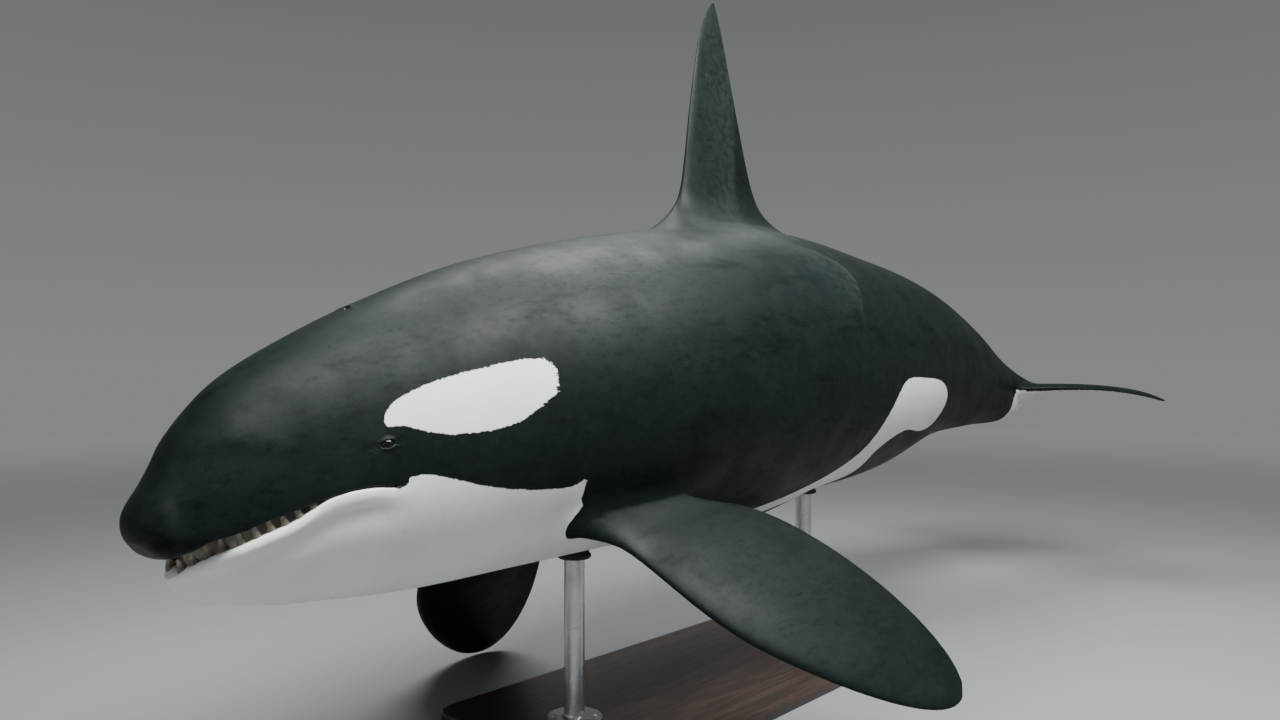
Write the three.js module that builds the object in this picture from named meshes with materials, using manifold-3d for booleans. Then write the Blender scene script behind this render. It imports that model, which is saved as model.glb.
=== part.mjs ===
// Orca, adult male, swimming with its jaws a little apart, on a plain museum stand.
// Millimetres, +Z up. The whale heads along -X, and its left side is towards -Y.
// The origin is the middle of the underside of the stand's base.
import * as THREE from 'three';
import { mergeVertices } from 'three/addons/utils/BufferGeometryUtils.js';
import Module from 'manifold-3d';

const wasm = await Module();
wasm.setup();

// Driving sizes
const LENGTH = 7000;              // snout to the notch between the flukes
const GAP = 0.4;                  // room kept between neighbouring pieces
const SLIVER = 0.05;              // points nearer than this are one
const BODY_SIDES = 40;            // facets round the body
const HEAD_SIDES = 46;            // facets round the head

// Carriage on the stand
const AXIS_HEIGHT = 1370;         // snout axis above the floor
const STAND_AT = 2900;            // distance of the stand's middle behind the snout
const ROLL = -0.064;              // lean to the whale's left, radians
const PITCH = -0.063;             // tail carried a little higher than the snout
const TAIL_SWING = 220;           // sideways swing of the tail at full length
const SWING_START = 3000;
const HEAD_SWING = 46;            // sideways turn of the snout
const HEAD_SWING_END = 2000;
const TAIL_DROOP = 445;           // downward curve of the tail at full length
const DROOP_START = 4525;

// Body outline, straightened: distance from the snout, back, belly, half width
const STATIONS = [
  [0, -205, -205, 0],
  [60, -108, -330, 126],
  [140, 13, -452, 162],
  [300, 180, -520, 240],
  [600, 333, -578, 342],
  [950, 465, -623, 443],
  [1400, 597, -646, 558],
  [2000, 702, -674, 659],
  [2700, 768, -710, 698],
  [3500, 777, -694, 671],
  [4300, 656, -676, 566],
  [5100, 497, -541, 423],
  [5800, 311, -448, 265],
  [6400, 125, -325, 120],
  [6900, 48, -36, 34],
];
const WIDEST_AT = 0.45;           // height of the widest line, between belly and back

// Where the body is parted
const NECK_CUT = 1080;
const CHEST_CUT = 2300;
const LOIN_CUT = 3980;
const TAIL_CUT = 5250;
const TAIL_END = 6900;

// Mouth: upper and lower lip heights along the head
const UPPER_LIP = [
  [-60, -198], [20, -264], [55, -305], [90, -326], [130, -321], [210, -288],
  [320, -251], [400, -231], [490, -211], [600, -203], [700, -200],
];
const LOWER_LIP = [
  [130, -370], [170, -348], [250, -310], [320, -284], [400, -259], [460, -232],
  [505, -213.5], [600, -206], [700, -203],
];
const GAPE = 700;                 // corner of the mouth
const JAW_TIP = 112;
const JAW_TIP_CURVE = 0.006;      // how fast the chin rounds back to its sides
const JAW_TIP_ROUND = 26;
const LIP_INSETS = [11, 27, 64];  // from the skin in: lip edge, tooth ledge, inner edge of the gum
const INNER_SHARES = [0.62, 0.3]; // then shares of what is left to the middle
const VAULT = [0, 34, 37, 43, 47, 48];    // rise of the palate at each of these and at the middle
const TROUGH = [0, 3, 28, 48, 54, 55];    // fall of the mouth floor at the same places
const CAVITY_START = 135;
const CAVITY_END = 668;
const JAW_HINGE_LEAN = 300;       // how far the jaw's parting slants back to the throat
const BELOW = -900;               // a height well under the head

// Teeth
const TEETH_A_SIDE = 12;
const LOWER_TOOTH = { height: 40, radius: 14, inset: 28, start: 146, end: 560, sink: 16, lean: -0.3 };
const UPPER_TOOTH = { height: 28, radius: 9, inset: 50, start: 178, end: 560, sink: 16, lean: 0.15 };
const TOOTH_SIDES = 6;

// Tongue
const TONGUE = { from: 235, to: 610, halfWidth: 84, rise: 22, sink: 66 };

// Eyes and lids
const EYE_FACETS = 16;
const EYE = { at: 712, height: -52, radius: 27, sunk: 17 };
const LID = { halfLength: 31, halfHeight: 20, thickness: 7, tilt: 0.12 };

// Blowhole
const BLOWHOLE = { at: 830, radius: 46, halfArc: 1.25, slit: 5.5, depth: 22, rim: 17, rise: 7 };

// Fins
const FIN_SIDES = 8;              // facets on each face of a fin, fore to aft
const EDGE = 2.5;                 // thickness of a fin's trailing edge
const DORSAL = { height: 1245, lead: 2850, trail: 3515, thickness: 0.17, sunk: 170 };
const FLIPPER = {
  length: 1524, width: 748, root: 0.40, widest: 0.467, tip: 1.79, lag: -0.052,
  curl: -0.091, thickness: 0.125, sunk: 0.12, at: [1670, 436, -428],
};
const LEFT_FLIPPER = { sweep: 0.639, dip: 0.456, twist: -0.518 };
const RIGHT_FLIPPER = { sweep: 0.726, dip: 0.592, twist: -0.518 };
const FLUKE = {
  halfSpan: 935, from: 6390, notch: 7000, height: -377, slope: -0.06, tipDroop: 137,
  thickness: 0.112, yaw: -0.11,
};

// Stand
const BASE = { length: 2560, width: 1180, thickness: 50, corner: 110, bevel: 8 };
const ROD = { radius: 45, foot: 125, footHeight: 22, front: 1960, rear: 3860 };

// Looks of the plain parts
const material = (color, roughness, metalness = 0) =>
  new THREE.MeshStandardMaterial({ color, roughness, metalness });
const BLACK_SKIN = material(0x14232a, 0.42);
const WHITE_SKIN = material(0xc9d2d0, 0.5);
const MOUTH_SKIN = material(0x8a6c6a, 0.5);
const EYE_WET = material(0x1b2a33, 0.12);
const STAND_PLATE = material(0x3a291f, 0.45);
const STAND_STEEL = material(0xaab0b5, 0.32, 1);

// Small helpers
const clamp01 = (t) => Math.min(1, Math.max(0, t));
const smooth = (t) => clamp01(t) ** 2 * (3 - 2 * clamp01(t));
const range = (count, from, to) =>
  Array.from({ length: count }, (_, i) => from + ((to - from) * i) / (count - 1));

/** Smooth curve through [key, value] rows: cubic pieces with centred slopes. */
function through(rows, column, key) {
  const last = rows.length - 1;
  const slope = (i) => {
    const a = Math.max(i - 1, 0);
    const b = Math.min(i + 1, last);
    return (rows[b][column] - rows[a][column]) / (rows[b][0] - rows[a][0]);
  };
  let i = 0;
  while (i < last - 1 && key > rows[i + 1][0]) i += 1;
  const step = rows[i + 1][0] - rows[i][0];
  const t = clamp01((key - rows[i][0]) / step);
  return (2 * t ** 3 - 3 * t ** 2 + 1) * rows[i][column] +
    (t ** 3 - 2 * t ** 2 + t) * step * slope(i) +
    (3 * t ** 2 - 2 * t ** 3) * rows[i + 1][column] +
    (t ** 3 - t ** 2) * step * slope(i + 1);
}

/** Closed solid over rings of points; an end is a point, a fan, or triangles given for it. */
function loft(rings, { startPoint, endPoint, mirrorFrom = Infinity, ends } = {}) {
  const sides = rings[0].length;
  const points = rings.flat();
  const triangles = [];
  const at = (ring, side) => ring * sides + (side % sides);
  for (let ring = 0; ring < rings.length - 1; ring += 1) {
    for (let side = 0; side < sides; side += 1) {
      const [a, b] = [at(ring, side), at(ring, side + 1)];
      const [c, d] = [at(ring + 1, side), at(ring + 1, side + 1)];
      if (side < mirrorFrom) triangles.push(a, b, d, a, d, c);
      else triangles.push(a, b, c, b, d, c);
    }
  }
  const close = (ring, point, outward) => {
    if (ends) {
      ends.forEach(([a, b, c]) => triangles.push(
        at(ring, a), ...(outward ? [at(ring, b), at(ring, c)] : [at(ring, c), at(ring, b)])));
      return;
    }
    const centre = new THREE.Vector3();
    rings[ring].forEach((p) => centre.addScaledVector(p, 1 / sides));
    points.push(point ?? centre);
    const hub = points.length - 1;
    for (let side = 0; side < sides; side += 1) {
      const [a, b] = [at(ring, side), at(ring, side + 1)];
      if (outward) triangles.push(hub, a, b);
      else triangles.push(hub, b, a);
    }
  };
  close(0, startPoint, false);
  close(rings.length - 1, endPoint, true);
  return solidOf(points, triangles);
}

/** Manifold solid from points and triangles, turned inside out where they face inwards. */
function solidOf(points, triangles) {
  let volume = 0;
  for (let i = 0; i < triangles.length; i += 3) {
    const [a, b, c] = [0, 1, 2].map((k) => points[triangles[i + k]]);
    volume += a.dot(new THREE.Vector3().crossVectors(b, c));
  }
  if (volume < 0) {
    for (let i = 0; i < triangles.length; i += 3) {
      [triangles[i], triangles[i + 1]] = [triangles[i + 1], triangles[i]];
    }
  }
  return new wasm.Manifold(new wasm.Mesh({
    numProp: 3,
    vertProperties: new Float32Array(points.flatMap((p) => [p.x, p.y, p.z])),
    triVerts: new Uint32Array(triangles),
  }));
}

/** Manifold solid from a closed three.js geometry, with points that near each other joined. */
function solidFrom(geometry, near = 1e-3) {
  geometry.deleteAttribute('normal');
  geometry.deleteAttribute('uv');
  const merged = mergeVertices(geometry, near);
  return new wasm.Manifold(new wasm.Mesh({
    numProp: 3,
    vertProperties: new Float32Array(merged.attributes.position.array),
    triVerts: new Uint32Array(merged.index.array),
  }));
}

/** Three.js geometry of a solid's largest closed surface. */
function surfaceOf(solid) {
  const [largest] = solid.decompose().sort((a, b) => b.volume() - a.volume());
  const { vertProperties, triVerts } = largest.getMesh();
  const geometry = new THREE.BufferGeometry();
  geometry.setAttribute('position', new THREE.BufferAttribute(new Float32Array(vertProperties), 3));
  geometry.setIndex(new THREE.BufferAttribute(new Uint32Array(triVerts), 1));
  return geometry;
}

/** Named mesh of a solid, its slivers closed up. */
function meshOf(name, solid, look) {
  const geometry = surfaceOf(solidFrom(surfaceOf(solid), SLIVER));
  geometry.computeVertexNormals();
  const mesh = new THREE.Mesh(geometry, look);
  mesh.name = name;
  return mesh;
}

/** Outline of the straight body at x. The key is a square root, which rounds the snout. */
function section(x) {
  const rows = STATIONS.map((row) => [Math.sqrt(row[0]), ...row.slice(1)]);
  const key = Math.sqrt(Math.max(x, 0));
  const [top, bottom, half] = [1, 2, 3].map((column) => through(rows, column, key));
  return { top, bottom, half: Math.max(half, 0), middle: bottom + WIDEST_AT * (top - bottom) };
}

/** Sideways and downward shift of the spine at x, from the swing and droop of the pose. */
function spine(x) {
  const tail = Math.max(0, (x - SWING_START) / (LENGTH - SWING_START));
  const head = Math.max(0, (HEAD_SWING_END - x) / HEAD_SWING_END);
  const droop = Math.max(0, (x - DROOP_START) / (LENGTH - DROOP_START));
  return { y: -TAIL_SWING * tail ** 2 - HEAD_SWING * head ** 2, z: -TAIL_DROOP * droop ** 2 };
}

const posed = (x, y, z) => {
  const shift = spine(x);
  return new THREE.Vector3(x, y + shift.y, z + shift.z);
};

/** Point of the skin at x and at an angle from the whale's right, going over the back. */
function skin(x, angle, grow = 0) {
  const { top, bottom, half, middle } = section(x);
  const rise = Math.sin(angle) > 0 ? top - middle : middle - bottom;
  return posed(x, (half + grow) * Math.cos(angle), middle + (rise + grow) * Math.sin(angle));
}

/** Half width of the straight body at x and height z. */
function halfWidthAt(x, z) {
  const { top, bottom, half, middle } = section(x);
  const reach = z > middle ? (z - middle) / (top - middle) : (z - middle) / (middle - bottom);
  return half * Math.sqrt(Math.max(0, 1 - reach ** 2));
}

const ring = (x, sides, grow) =>
  range(sides + 1, 0, 2 * Math.PI).slice(0, sides).map((angle) => skin(x, angle, grow));

/** Length of the body between two cuts, with a flat face at each. */
const bodyLength = (from, to, steps, grow = 0) =>
  loft(range(steps + 1, from, to).map((x) => ring(x, BODY_SIDES, grow)));

/** Head and throat as one solid, with rings closer together towards the snout. */
function headBlank(grow = 0) {
  const rings = range(23, 0, 1).slice(1).map((t) => ring(NECK_CUT * t ** 1.6, HEAD_SIDES, grow));
  const { top } = section(0);
  return loft(rings, { startPoint: posed(-grow, 0, top) });
}

/** Triangles that fill an outline of [x, z] pairs, turned the way its loft needs. */
function fill(outline) {
  const flat = outline.map(([x, z]) => new THREE.Vector2(x, z));
  const triangles = THREE.ShapeUtils.triangulateShape(flat, []);
  return THREE.ShapeUtils.isClockWise(flat) ? triangles.map(([a, b, c]) => [a, c, b]) : triangles;
}

/** The open mouth: lips, palate, mouth floor and the space before the chin. */
function mouthSpace() {
  const beyond = 400;
  const narrowest = 118;
  const side = [
    { aside: (half) => half + beyond, rise: 0, fall: 0 },
    ...LIP_INSETS.map((inset, i) => ({ aside: (half) => half - inset, rise: VAULT[i], fall: TROUGH[i] })),
    ...INNER_SHARES.map((share, i) => ({
      aside: (half) => (half - LIP_INSETS.at(-1)) * share,
      rise: VAULT[LIP_INSETS.length + i],
      fall: TROUGH[LIP_INSETS.length + i],
    })),
  ];
  const middle = { aside: () => 0, rise: VAULT.at(-1), fall: TROUGH.at(-1) };
  const slices = [
    ...side.map((slice) => ({ ...slice, way: -1 })),
    { ...middle, way: 1 },
    ...side.map((slice) => ({ ...slice, way: 1 })).reverse(),
  ].map(({ aside, rise, fall, way }) => {
    const place = (x, lip, shift) =>
      [x, way * aside(Math.max(narrowest, halfWidthAt(x, lip))), lip + shift];
    const along = (x) => smooth((x - CAVITY_START) / 60) * smooth((CAVITY_END - x) / 90);
    const across = Math.min(190, aside(narrowest + 30));
    const chin = JAW_TIP + JAW_TIP_CURVE * across ** 2;
    const upper = range(17, -60, GAPE).map((x) => {
      const lip = through(UPPER_LIP, 1, x);
      const round = 0.0011 * across ** 2 * smooth((210 - x) / 140);
      return place(x, lip, round + rise * along(x));
    });
    const lower = range(13, GAPE, chin + 2 * JAW_TIP_ROUND).map((x) =>
      place(x, through(LOWER_LIP, 1, x), -fall * along(x)));
    const front = through(LOWER_LIP, 1, chin + JAW_TIP_ROUND);
    const rim = range(3, 0.45, 1.5).map((angle) => place(
      chin + JAW_TIP_ROUND * (1 - Math.sin(angle)),
      front,
      JAW_TIP_ROUND * (Math.cos(angle) - 1) - 4,
    ));
    return [...upper, ...lower, ...rim, place(chin, BELOW, 0), place(-60, BELOW, 0)];
  });
  const ends = fill(slices[0].map(([x, , z]) => [x, z]));
  return loft(slices.map((slice) => slice.map((p) => posed(...p))), { ends });
}

/** Height of the middle of the mouth's line. */
const mouthLine = (x) => (through(UPPER_LIP, 1, x) + through(LOWER_LIP, 1, Math.max(x, 130))) / 2;

/** Region of the lower jaw: all below the mouth's line and before a slanting cut. */
function jawRegion(grow) {
  const outline = [
    [-300, mouthLine(130) + grow],
    ...range(13, 130, GAPE - 4).map((x) => [x, mouthLine(x) + grow]),
    [GAPE - 3 + grow, mouthLine(GAPE)],
    [GAPE + JAW_HINGE_LEAN + grow, BELOW],
    [-300, BELOW],
  ];
  const slices = [-700, 700].map((y) => outline.map(([x, z]) => posed(x, y, z)));
  return loft(slices, { ends: fill(outline) });
}

/** Draws that repeat from run to run. */
function seeded(seed) {
  let state = seed;
  return () => {
    state = (state * 1664525 + 1013904223) % 4294967296;
    return state / 4294967296;
  };
}

/** One row of conical teeth square to the jaw, upright (+1) or hanging (-1). */
function toothRow(size, lips, up, side, random) {
  const ledge = up > 0 ? -TROUGH[1] : VAULT[1];
  return range(TEETH_A_SIDE, 0, 1).map((t, i) => {
    const x = size.start + (size.end - size.start) * t ** 1.2;
    const lip = through(lips, 1, x);
    const roundChin = Math.sqrt((x - JAW_TIP - size.inset) / JAW_TIP_CURVE);
    const y = side * Math.min(halfWidthAt(x, lip) - size.inset, roundChin);
    const fade = 1 - 0.3 * smooth((i - 7) / 4) - 0.2 * smooth((2 - i) / 2);
    const height = size.height * fade * (0.88 + 0.2 * random());
    const radius = size.radius * (0.94 + 0.1 * random());
    const lean = size.lean + 0.1 * (random() - 0.5);
    const circle = range(TOOTH_SIDES + 1, 0, 2 * Math.PI).slice(0, TOOTH_SIDES);
    const rings = [[-size.sink, 1], [0, 1], [height * 0.55, 0.68]].map(([rise, wide]) =>
      circle.map((a) => posed(
        x + radius * wide * Math.cos(a) + lean * Math.max(0, rise) ** 2 / height,
        y + radius * wide * Math.sin(a) * 0.85,
        lip + ledge + up * rise,
      )));
    return loft(rings, { endPoint: posed(x + lean * height, y, lip + ledge + up * height) });
  });
}

/** Flattened, rounded solid along the mouth floor. */
function tongueBlank() {
  const rings = range(11, 0.04, 0.96).map((t) => {
    const x = TONGUE.from + (TONGUE.to - TONGUE.from) * t;
    const wide = TONGUE.halfWidth * Math.sqrt(1 - (2 * t - 1) ** 4) * (0.78 + 0.3 * t);
    const crown = through(LOWER_LIP, 1, x) - TONGUE.sink + TONGUE.rise;
    return range(15, 0, 2 * Math.PI).slice(0, 14).map((a) => posed(
      x, wide * Math.cos(a), crown + (TONGUE.rise + 4) * Math.sin(a) - 14 * Math.cos(a) ** 4));
  });
  return loft(rings);
}

/** Place and outward direction of an eye on the skin: side is -1 left, +1 right. */
function eyeSeat(side) {
  const reach = 8;
  const point = (x, z) => posed(x, side * halfWidthAt(x, z), z);
  const seat = point(EYE.at, EYE.height);
  const along = point(EYE.at + reach, EYE.height).sub(seat);
  const up = point(EYE.at, EYE.height + reach).sub(seat);
  const out = new THREE.Vector3().crossVectors(along, up).normalize().multiplyScalar(-side);
  const back = along.normalize();
  const over = new THREE.Vector3().crossVectors(out, back).multiplyScalar(-side).normalize();
  return { seat, out, back, over };
}

const eyeBall = (side, radius, facets) => {
  const { seat, out } = eyeSeat(side);
  const ball = new THREE.SphereGeometry(radius, facets, Math.round(facets * 0.7));
  const centre = seat.addScaledVector(out, -EYE.sunk);
  return solidFrom(ball.translate(centre.x, centre.y, centre.z));
};

/** Almond ring of the two lids, round the eye. */
function lids(side) {
  const { seat, out, back, over } = eyeSeat(side);
  const turn = (a) => {
    const [u, w] = [LID.halfLength * Math.cos(a), LID.halfHeight * Math.sin(a) * (1 - 0.25 * Math.cos(a) ** 2)];
    return [u * Math.cos(LID.tilt) - w * Math.sin(LID.tilt), u * Math.sin(LID.tilt) + w * Math.cos(LID.tilt)];
  };
  const rings = 18;
  const sides = 6;
  const points = [];
  const triangles = [];
  for (let i = 0; i < rings; i += 1) {
    const [u, w] = turn((2 * Math.PI * i) / rings);
    const away = Math.hypot(u, w);
    for (let k = 0; k < sides; k += 1) {
      const b = (2 * Math.PI * k) / sides;
      const grow = 1 + (LID.thickness * 1.3 * Math.cos(b)) / away;
      points.push(seat.clone().addScaledVector(back, u * grow).addScaledVector(over, w * grow)
        .addScaledVector(out, LID.thickness * Math.sin(b) - 1.5));
      const [a, c] = [i * sides + k, i * sides + ((k + 1) % sides)];
      const [d, e] = [((i + 1) % rings) * sides + k, ((i + 1) % rings) * sides + ((k + 1) % sides)];
      triangles.push(a, c, e, a, e, d);
    }
  }
  return solidOf(points, triangles);
}

/** Crescent over the blowhole, hollow side forwards: its rim when wide, its slit when narrow. */
function crescent(wide, up, down) {
  const rings = range(13, -0.97, 0.97).map((t) => {
    const angle = t * BLOWHOLE.halfArc;
    const x = BLOWHOLE.at - BLOWHOLE.radius * (1 - Math.cos(angle));
    const y = BLOWHOLE.radius * Math.sin(angle);
    const surface = section(x).middle + (section(x).top - section(x).middle) *
      Math.sqrt(1 - (y / section(x).half) ** 2);
    const thin = Math.sqrt(1 - t * t);
    return range(9, 0, 2 * Math.PI).slice(0, 8).map((a) => posed(
      x + wide * thin * Math.cos(a) * Math.cos(angle),
      y + wide * thin * Math.cos(a) * Math.sin(angle),
      surface + (Math.sin(a) > 0 ? up : down) * thin * Math.sin(a)));
  });
  return loft(rings);
}

/** Ring of a fin's section: streamlined, blunt at the trailing edge, fore to aft and back. */
function finRing(chord, thickness, place) {
  const half = (t) => 5 * thickness * chord *
    (0.2969 * Math.sqrt(t) - 0.126 * t - 0.3516 * t ** 2 + 0.2843 * t ** 3 - 0.1036 * t ** 4) +
    (EDGE / 2) * t;
  const steps = range(FIN_SIDES + 1, 0, 1).map((t) => t ** 1.6);
  const upper = steps.map((t) => place(t, half(t)));
  const lower = steps.slice(1).reverse().map((t) => place(t, -half(t)));
  return [...upper, ...lower];
}

/** Dorsal fin: tall and nearly straight, with edges that flare into the back. */
function dorsalBlank() {
  const heights = [-DORSAL.sunk, ...range(12, 0, 0.985).map((t) => DORSAL.height * t ** 1.15)];
  const foot = section(3150).top;
  const rings = heights.map((height) => {
    const t = Math.max(0, height / DORSAL.height);
    const flare = Math.exp(-t / 0.075);
    const lead = DORSAL.lead + 95 * t + 268 * t ** 1.5 - 190 * flare;
    const trail = DORSAL.trail - 205 * t + 200 * flare;
    const round = Math.sqrt(Math.max(0, 1 - clamp01((t - 0.8) / 0.2) ** 2.4));
    const tip = DORSAL.lead + 440;
    const [fore, aft] = [tip + (lead - tip) * round, tip + (trail - tip) * round];
    const thick = DORSAL.thickness * (1 - 0.45 * t) * (1 + 0.5 * flare) * 0.8;
    const sunk = Math.min(0, height);
    return finRing(aft - fore, thick, (u, w) => posed(fore + u * (aft - fore), w, foot + sunk + Math.max(0, height)));
  });
  const tipAt = posed(DORSAL.lead + 441, 0, foot + DORSAL.height);
  return loft(rings, { endPoint: tipAt, mirrorFrom: FIN_SIDES });
}

/** Flipper: a broad paddle set out, back and down from the chest. */
function flipperBlank(side, { sweep, dip, twist }) {
  const span = new THREE.Vector3(
    Math.sin(sweep) * Math.cos(dip), side * Math.cos(sweep) * Math.cos(dip), -Math.sin(dip));
  const rear = new THREE.Vector3(Math.cos(sweep), -side * Math.sin(sweep), 0);
  const face = new THREE.Vector3().crossVectors(rear, span).multiplyScalar(-side);
  const chordWay = rear.clone().multiplyScalar(Math.cos(twist)).addScaledVector(face, Math.sin(twist));
  const normal = new THREE.Vector3().crossVectors(span, chordWay).multiplyScalar(-side);
  const [x, y, z] = FLIPPER.at;
  const root = posed(x, side * y, z);
  const place = (s) => {
    const t = Math.max(s, 0);
    const swell = Math.sin((Math.PI / 2) * clamp01(t / FLIPPER.widest)) ** 1.3;
    const beyond = clamp01((t - FLIPPER.widest) / (1 - FLIPPER.widest));
    const wide = t < FLIPPER.widest
      ? FLIPPER.root + (1 - FLIPPER.root) * swell
      : Math.sqrt(Math.max(0, 1 - beyond ** FLIPPER.tip));
    const flare = 0.16 * Math.exp(-t / 0.05);
    const chord = FLIPPER.width * (wide + flare);
    const centre = root.clone()
      .addScaledVector(span, FLIPPER.length * s)
      .addScaledVector(chordWay, FLIPPER.length * FLIPPER.lag * t * t)
      .addScaledVector(normal, FLIPPER.length * FLIPPER.curl * t * t);
    const thick = FLIPPER.thickness * (1 - 0.4 * t) * (1 + 0.55 * Math.exp(-t / 0.09));
    return finRing(chord, thick, (u, w) => centre.clone()
      .addScaledVector(chordWay, (u - 0.5) * chord).addScaledVector(normal, w));
  };
  const steps = [-FLIPPER.sunk, ...range(13, 0, 1).map((t) => 0.9975 * Math.sin((Math.PI / 2) * t) ** 0.9)];
  return loft(steps.map(place), { mirrorFrom: FIN_SIDES });
}

/** Both flukes as one blade: swept, thin, with drooping tips and a notch in the middle. */
function flukeBlank() {
  const pivot = posed(FLUKE.from, 0, 0);
  const slices = range(25, -1, 1).map((t) => Math.sign(t) * Math.sin((Math.PI / 2) * Math.abs(t)) * 0.994);
  const rings = slices.map((across) => {
    const t = Math.abs(across);
    const lead = FLUKE.from + 560 * t + 170 * t ** 4 - 60 * (1 - Math.exp(-t / 0.06));
    const trail = FLUKE.notch + 105 * (1 - Math.exp(-t / 0.1)) + 25 * t;
    const tip = FLUKE.from + 730;
    const chord = Math.max(3, trail - Math.min(lead, tip - 1));
    const thick = FLUKE.thickness * (1 - 0.35 * t);
    return finRing(chord, thick, (u, w) => {
      const back = lead - FLUKE.from + u * chord;
      const aside = across * FLUKE.halfSpan;
      return new THREE.Vector3(
        pivot.x + back * Math.cos(FLUKE.yaw) - aside * Math.sin(FLUKE.yaw),
        pivot.y + back * Math.sin(FLUKE.yaw) + aside * Math.cos(FLUKE.yaw),
        FLUKE.height + FLUKE.slope * (back - 300) - FLUKE.tipDroop * t ** 4 + w,
      );
    });
  });
  return loft(rings, { mirrorFrom: FIN_SIDES });
}

/** Half space as a large box, on one side of the flukes' middle line. */
function flukeSide(side) {
  const size = 3000;
  const box = new THREE.BoxGeometry(size, size, size);
  box.translate(0, side * (size / 2 + GAP / 2), 0).rotateZ(FLUKE.yaw);
  const pivot = posed(FLUKE.from, 0, 0);
  return solidFrom(box.translate(pivot.x, pivot.y, 0));
}

/** Stand's base: a flat plate with round corners and a small bevel. */
function basePlate() {
  const { length, width, thickness, corner, bevel } = BASE;
  const [x, y] = [length / 2 - bevel, width / 2 - bevel];
  const shape = new THREE.Shape();
  shape.moveTo(-x + corner, -y);
  shape.lineTo(x - corner, -y);
  shape.absarc(x - corner, -y + corner, corner, -Math.PI / 2, 0);
  shape.lineTo(x, y - corner);
  shape.absarc(x - corner, y - corner, corner, 0, Math.PI / 2);
  shape.lineTo(-x + corner, y);
  shape.absarc(-x + corner, y - corner, corner, Math.PI / 2, Math.PI);
  shape.lineTo(-x, -y + corner);
  shape.absarc(-x + corner, -y + corner, corner, Math.PI, 1.5 * Math.PI);
  const plate = new THREE.ExtrudeGeometry(shape, {
    depth: thickness - 2 * bevel, bevelSize: bevel, bevelThickness: bevel, bevelSegments: 1, curveSegments: 6,
  });
  return solidFrom(plate.translate(0, 0, bevel));
}

/** Rod with a round foot, standing on the base and cut to the belly. */
function rod(at, bodyInPlace) {
  const foot = BASE.thickness + GAP;
  const edge = 5;
  const profile = [
    [0, foot], [ROD.foot - edge, foot], [ROD.foot, foot + edge], [ROD.foot, foot + ROD.footHeight - edge],
    [ROD.foot - edge, foot + ROD.footHeight], [ROD.radius + 14, foot + ROD.footHeight],
    [ROD.radius, foot + ROD.footHeight + 14], [ROD.radius, AXIS_HEIGHT], [0, AXIS_HEIGHT],
  ];
  const turned = new THREE.LatheGeometry(profile.map(([r, z]) => new THREE.Vector2(r, z)), 22);
  const { x, y } = carriage(spineAt(at));
  return solidFrom(turned.rotateX(Math.PI / 2).translate(x, y, 0)).subtract(bodyInPlace);
}

// Carriage: the whale's own frame, leaned and set over the base
const whale = new THREE.Group();
whale.rotation.set(ROLL, PITCH, 0, 'ZYX');
whale.position.set(-STAND_AT, 0, AXIS_HEIGHT);
whale.updateMatrix();
const carriage = (point) => point.clone().applyMatrix4(whale.matrix);
const spineAt = (x) => posed(x, 0, 0);

// Body lengths, and the same solids grown by the gap, which the fins are cut against
const wholeBody = headBlank(GAP).add(bodyLength(NECK_CUT, CHEST_CUT, 8, GAP))
  .add(bodyLength(CHEST_CUT, LOIN_CUT, 9, GAP)).add(bodyLength(LOIN_CUT, TAIL_CUT, 7, GAP))
  .add(bodyLength(TAIL_CUT, TAIL_END, 12, GAP));
const seam = GAP / 2;
const thorax = bodyLength(NECK_CUT + seam, CHEST_CUT - seam, 8);
const torso = bodyLength(CHEST_CUT + seam, LOIN_CUT - seam, 9);
const loin = bodyLength(LOIN_CUT + seam, TAIL_CUT - seam, 7);
const tailStock = bodyLength(TAIL_CUT + seam, TAIL_END, 12);

// Head and jaw
const opened = headBlank().subtract(mouthSpace());
const random = seeded(7);
const teeth = (size, lips, up) => [-1, 1].flatMap((side) => toothRow(size, lips, up, side, random));
const fuse = (solid, pieces) => pieces.reduce((sum, piece) => sum.add(piece), solid);
const slab = new THREE.BoxGeometry(4000, 4000, 4000);
const beforeNeck = solidFrom(slab.translate(NECK_CUT - seam - 2000, 0, 0));
const eyes = [-1, 1].map((side) => ({ side, name: side < 0 ? 'eye_left' : 'eye_right' }));
const upperHead = fuse(opened.subtract(jawRegion(GAP)), [
  ...teeth(UPPER_TOOTH, UPPER_LIP, -1),
  ...eyes.map(({ side }) => lids(side)),
  crescent(BLOWHOLE.rim, BLOWHOLE.rise, BLOWHOLE.depth),
]);
const head = eyes.reduce((solid, { side }) => solid.subtract(eyeBall(side, EYE.radius + GAP, EYE_FACETS)), upperHead)
  .subtract(crescent(BLOWHOLE.slit, 30, BLOWHOLE.depth)).intersect(beforeNeck);
const jaw = fuse(opened.intersect(jawRegion(0)), teeth(LOWER_TOOTH, LOWER_LIP, 1)).intersect(beforeNeck);
const jawWithRoom = [[GAP, 0, 0], [-GAP, 0, 0], [0, GAP, 0], [0, -GAP, 0], [0, 0, GAP]]
  .reduce((sum, shift) => sum.add(jaw.translate(shift)), jaw);
const tongue = tongueBlank().subtract(jawWithRoom);

// Fins and flukes
const flukes = flukeBlank().subtract(wholeBody);

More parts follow.
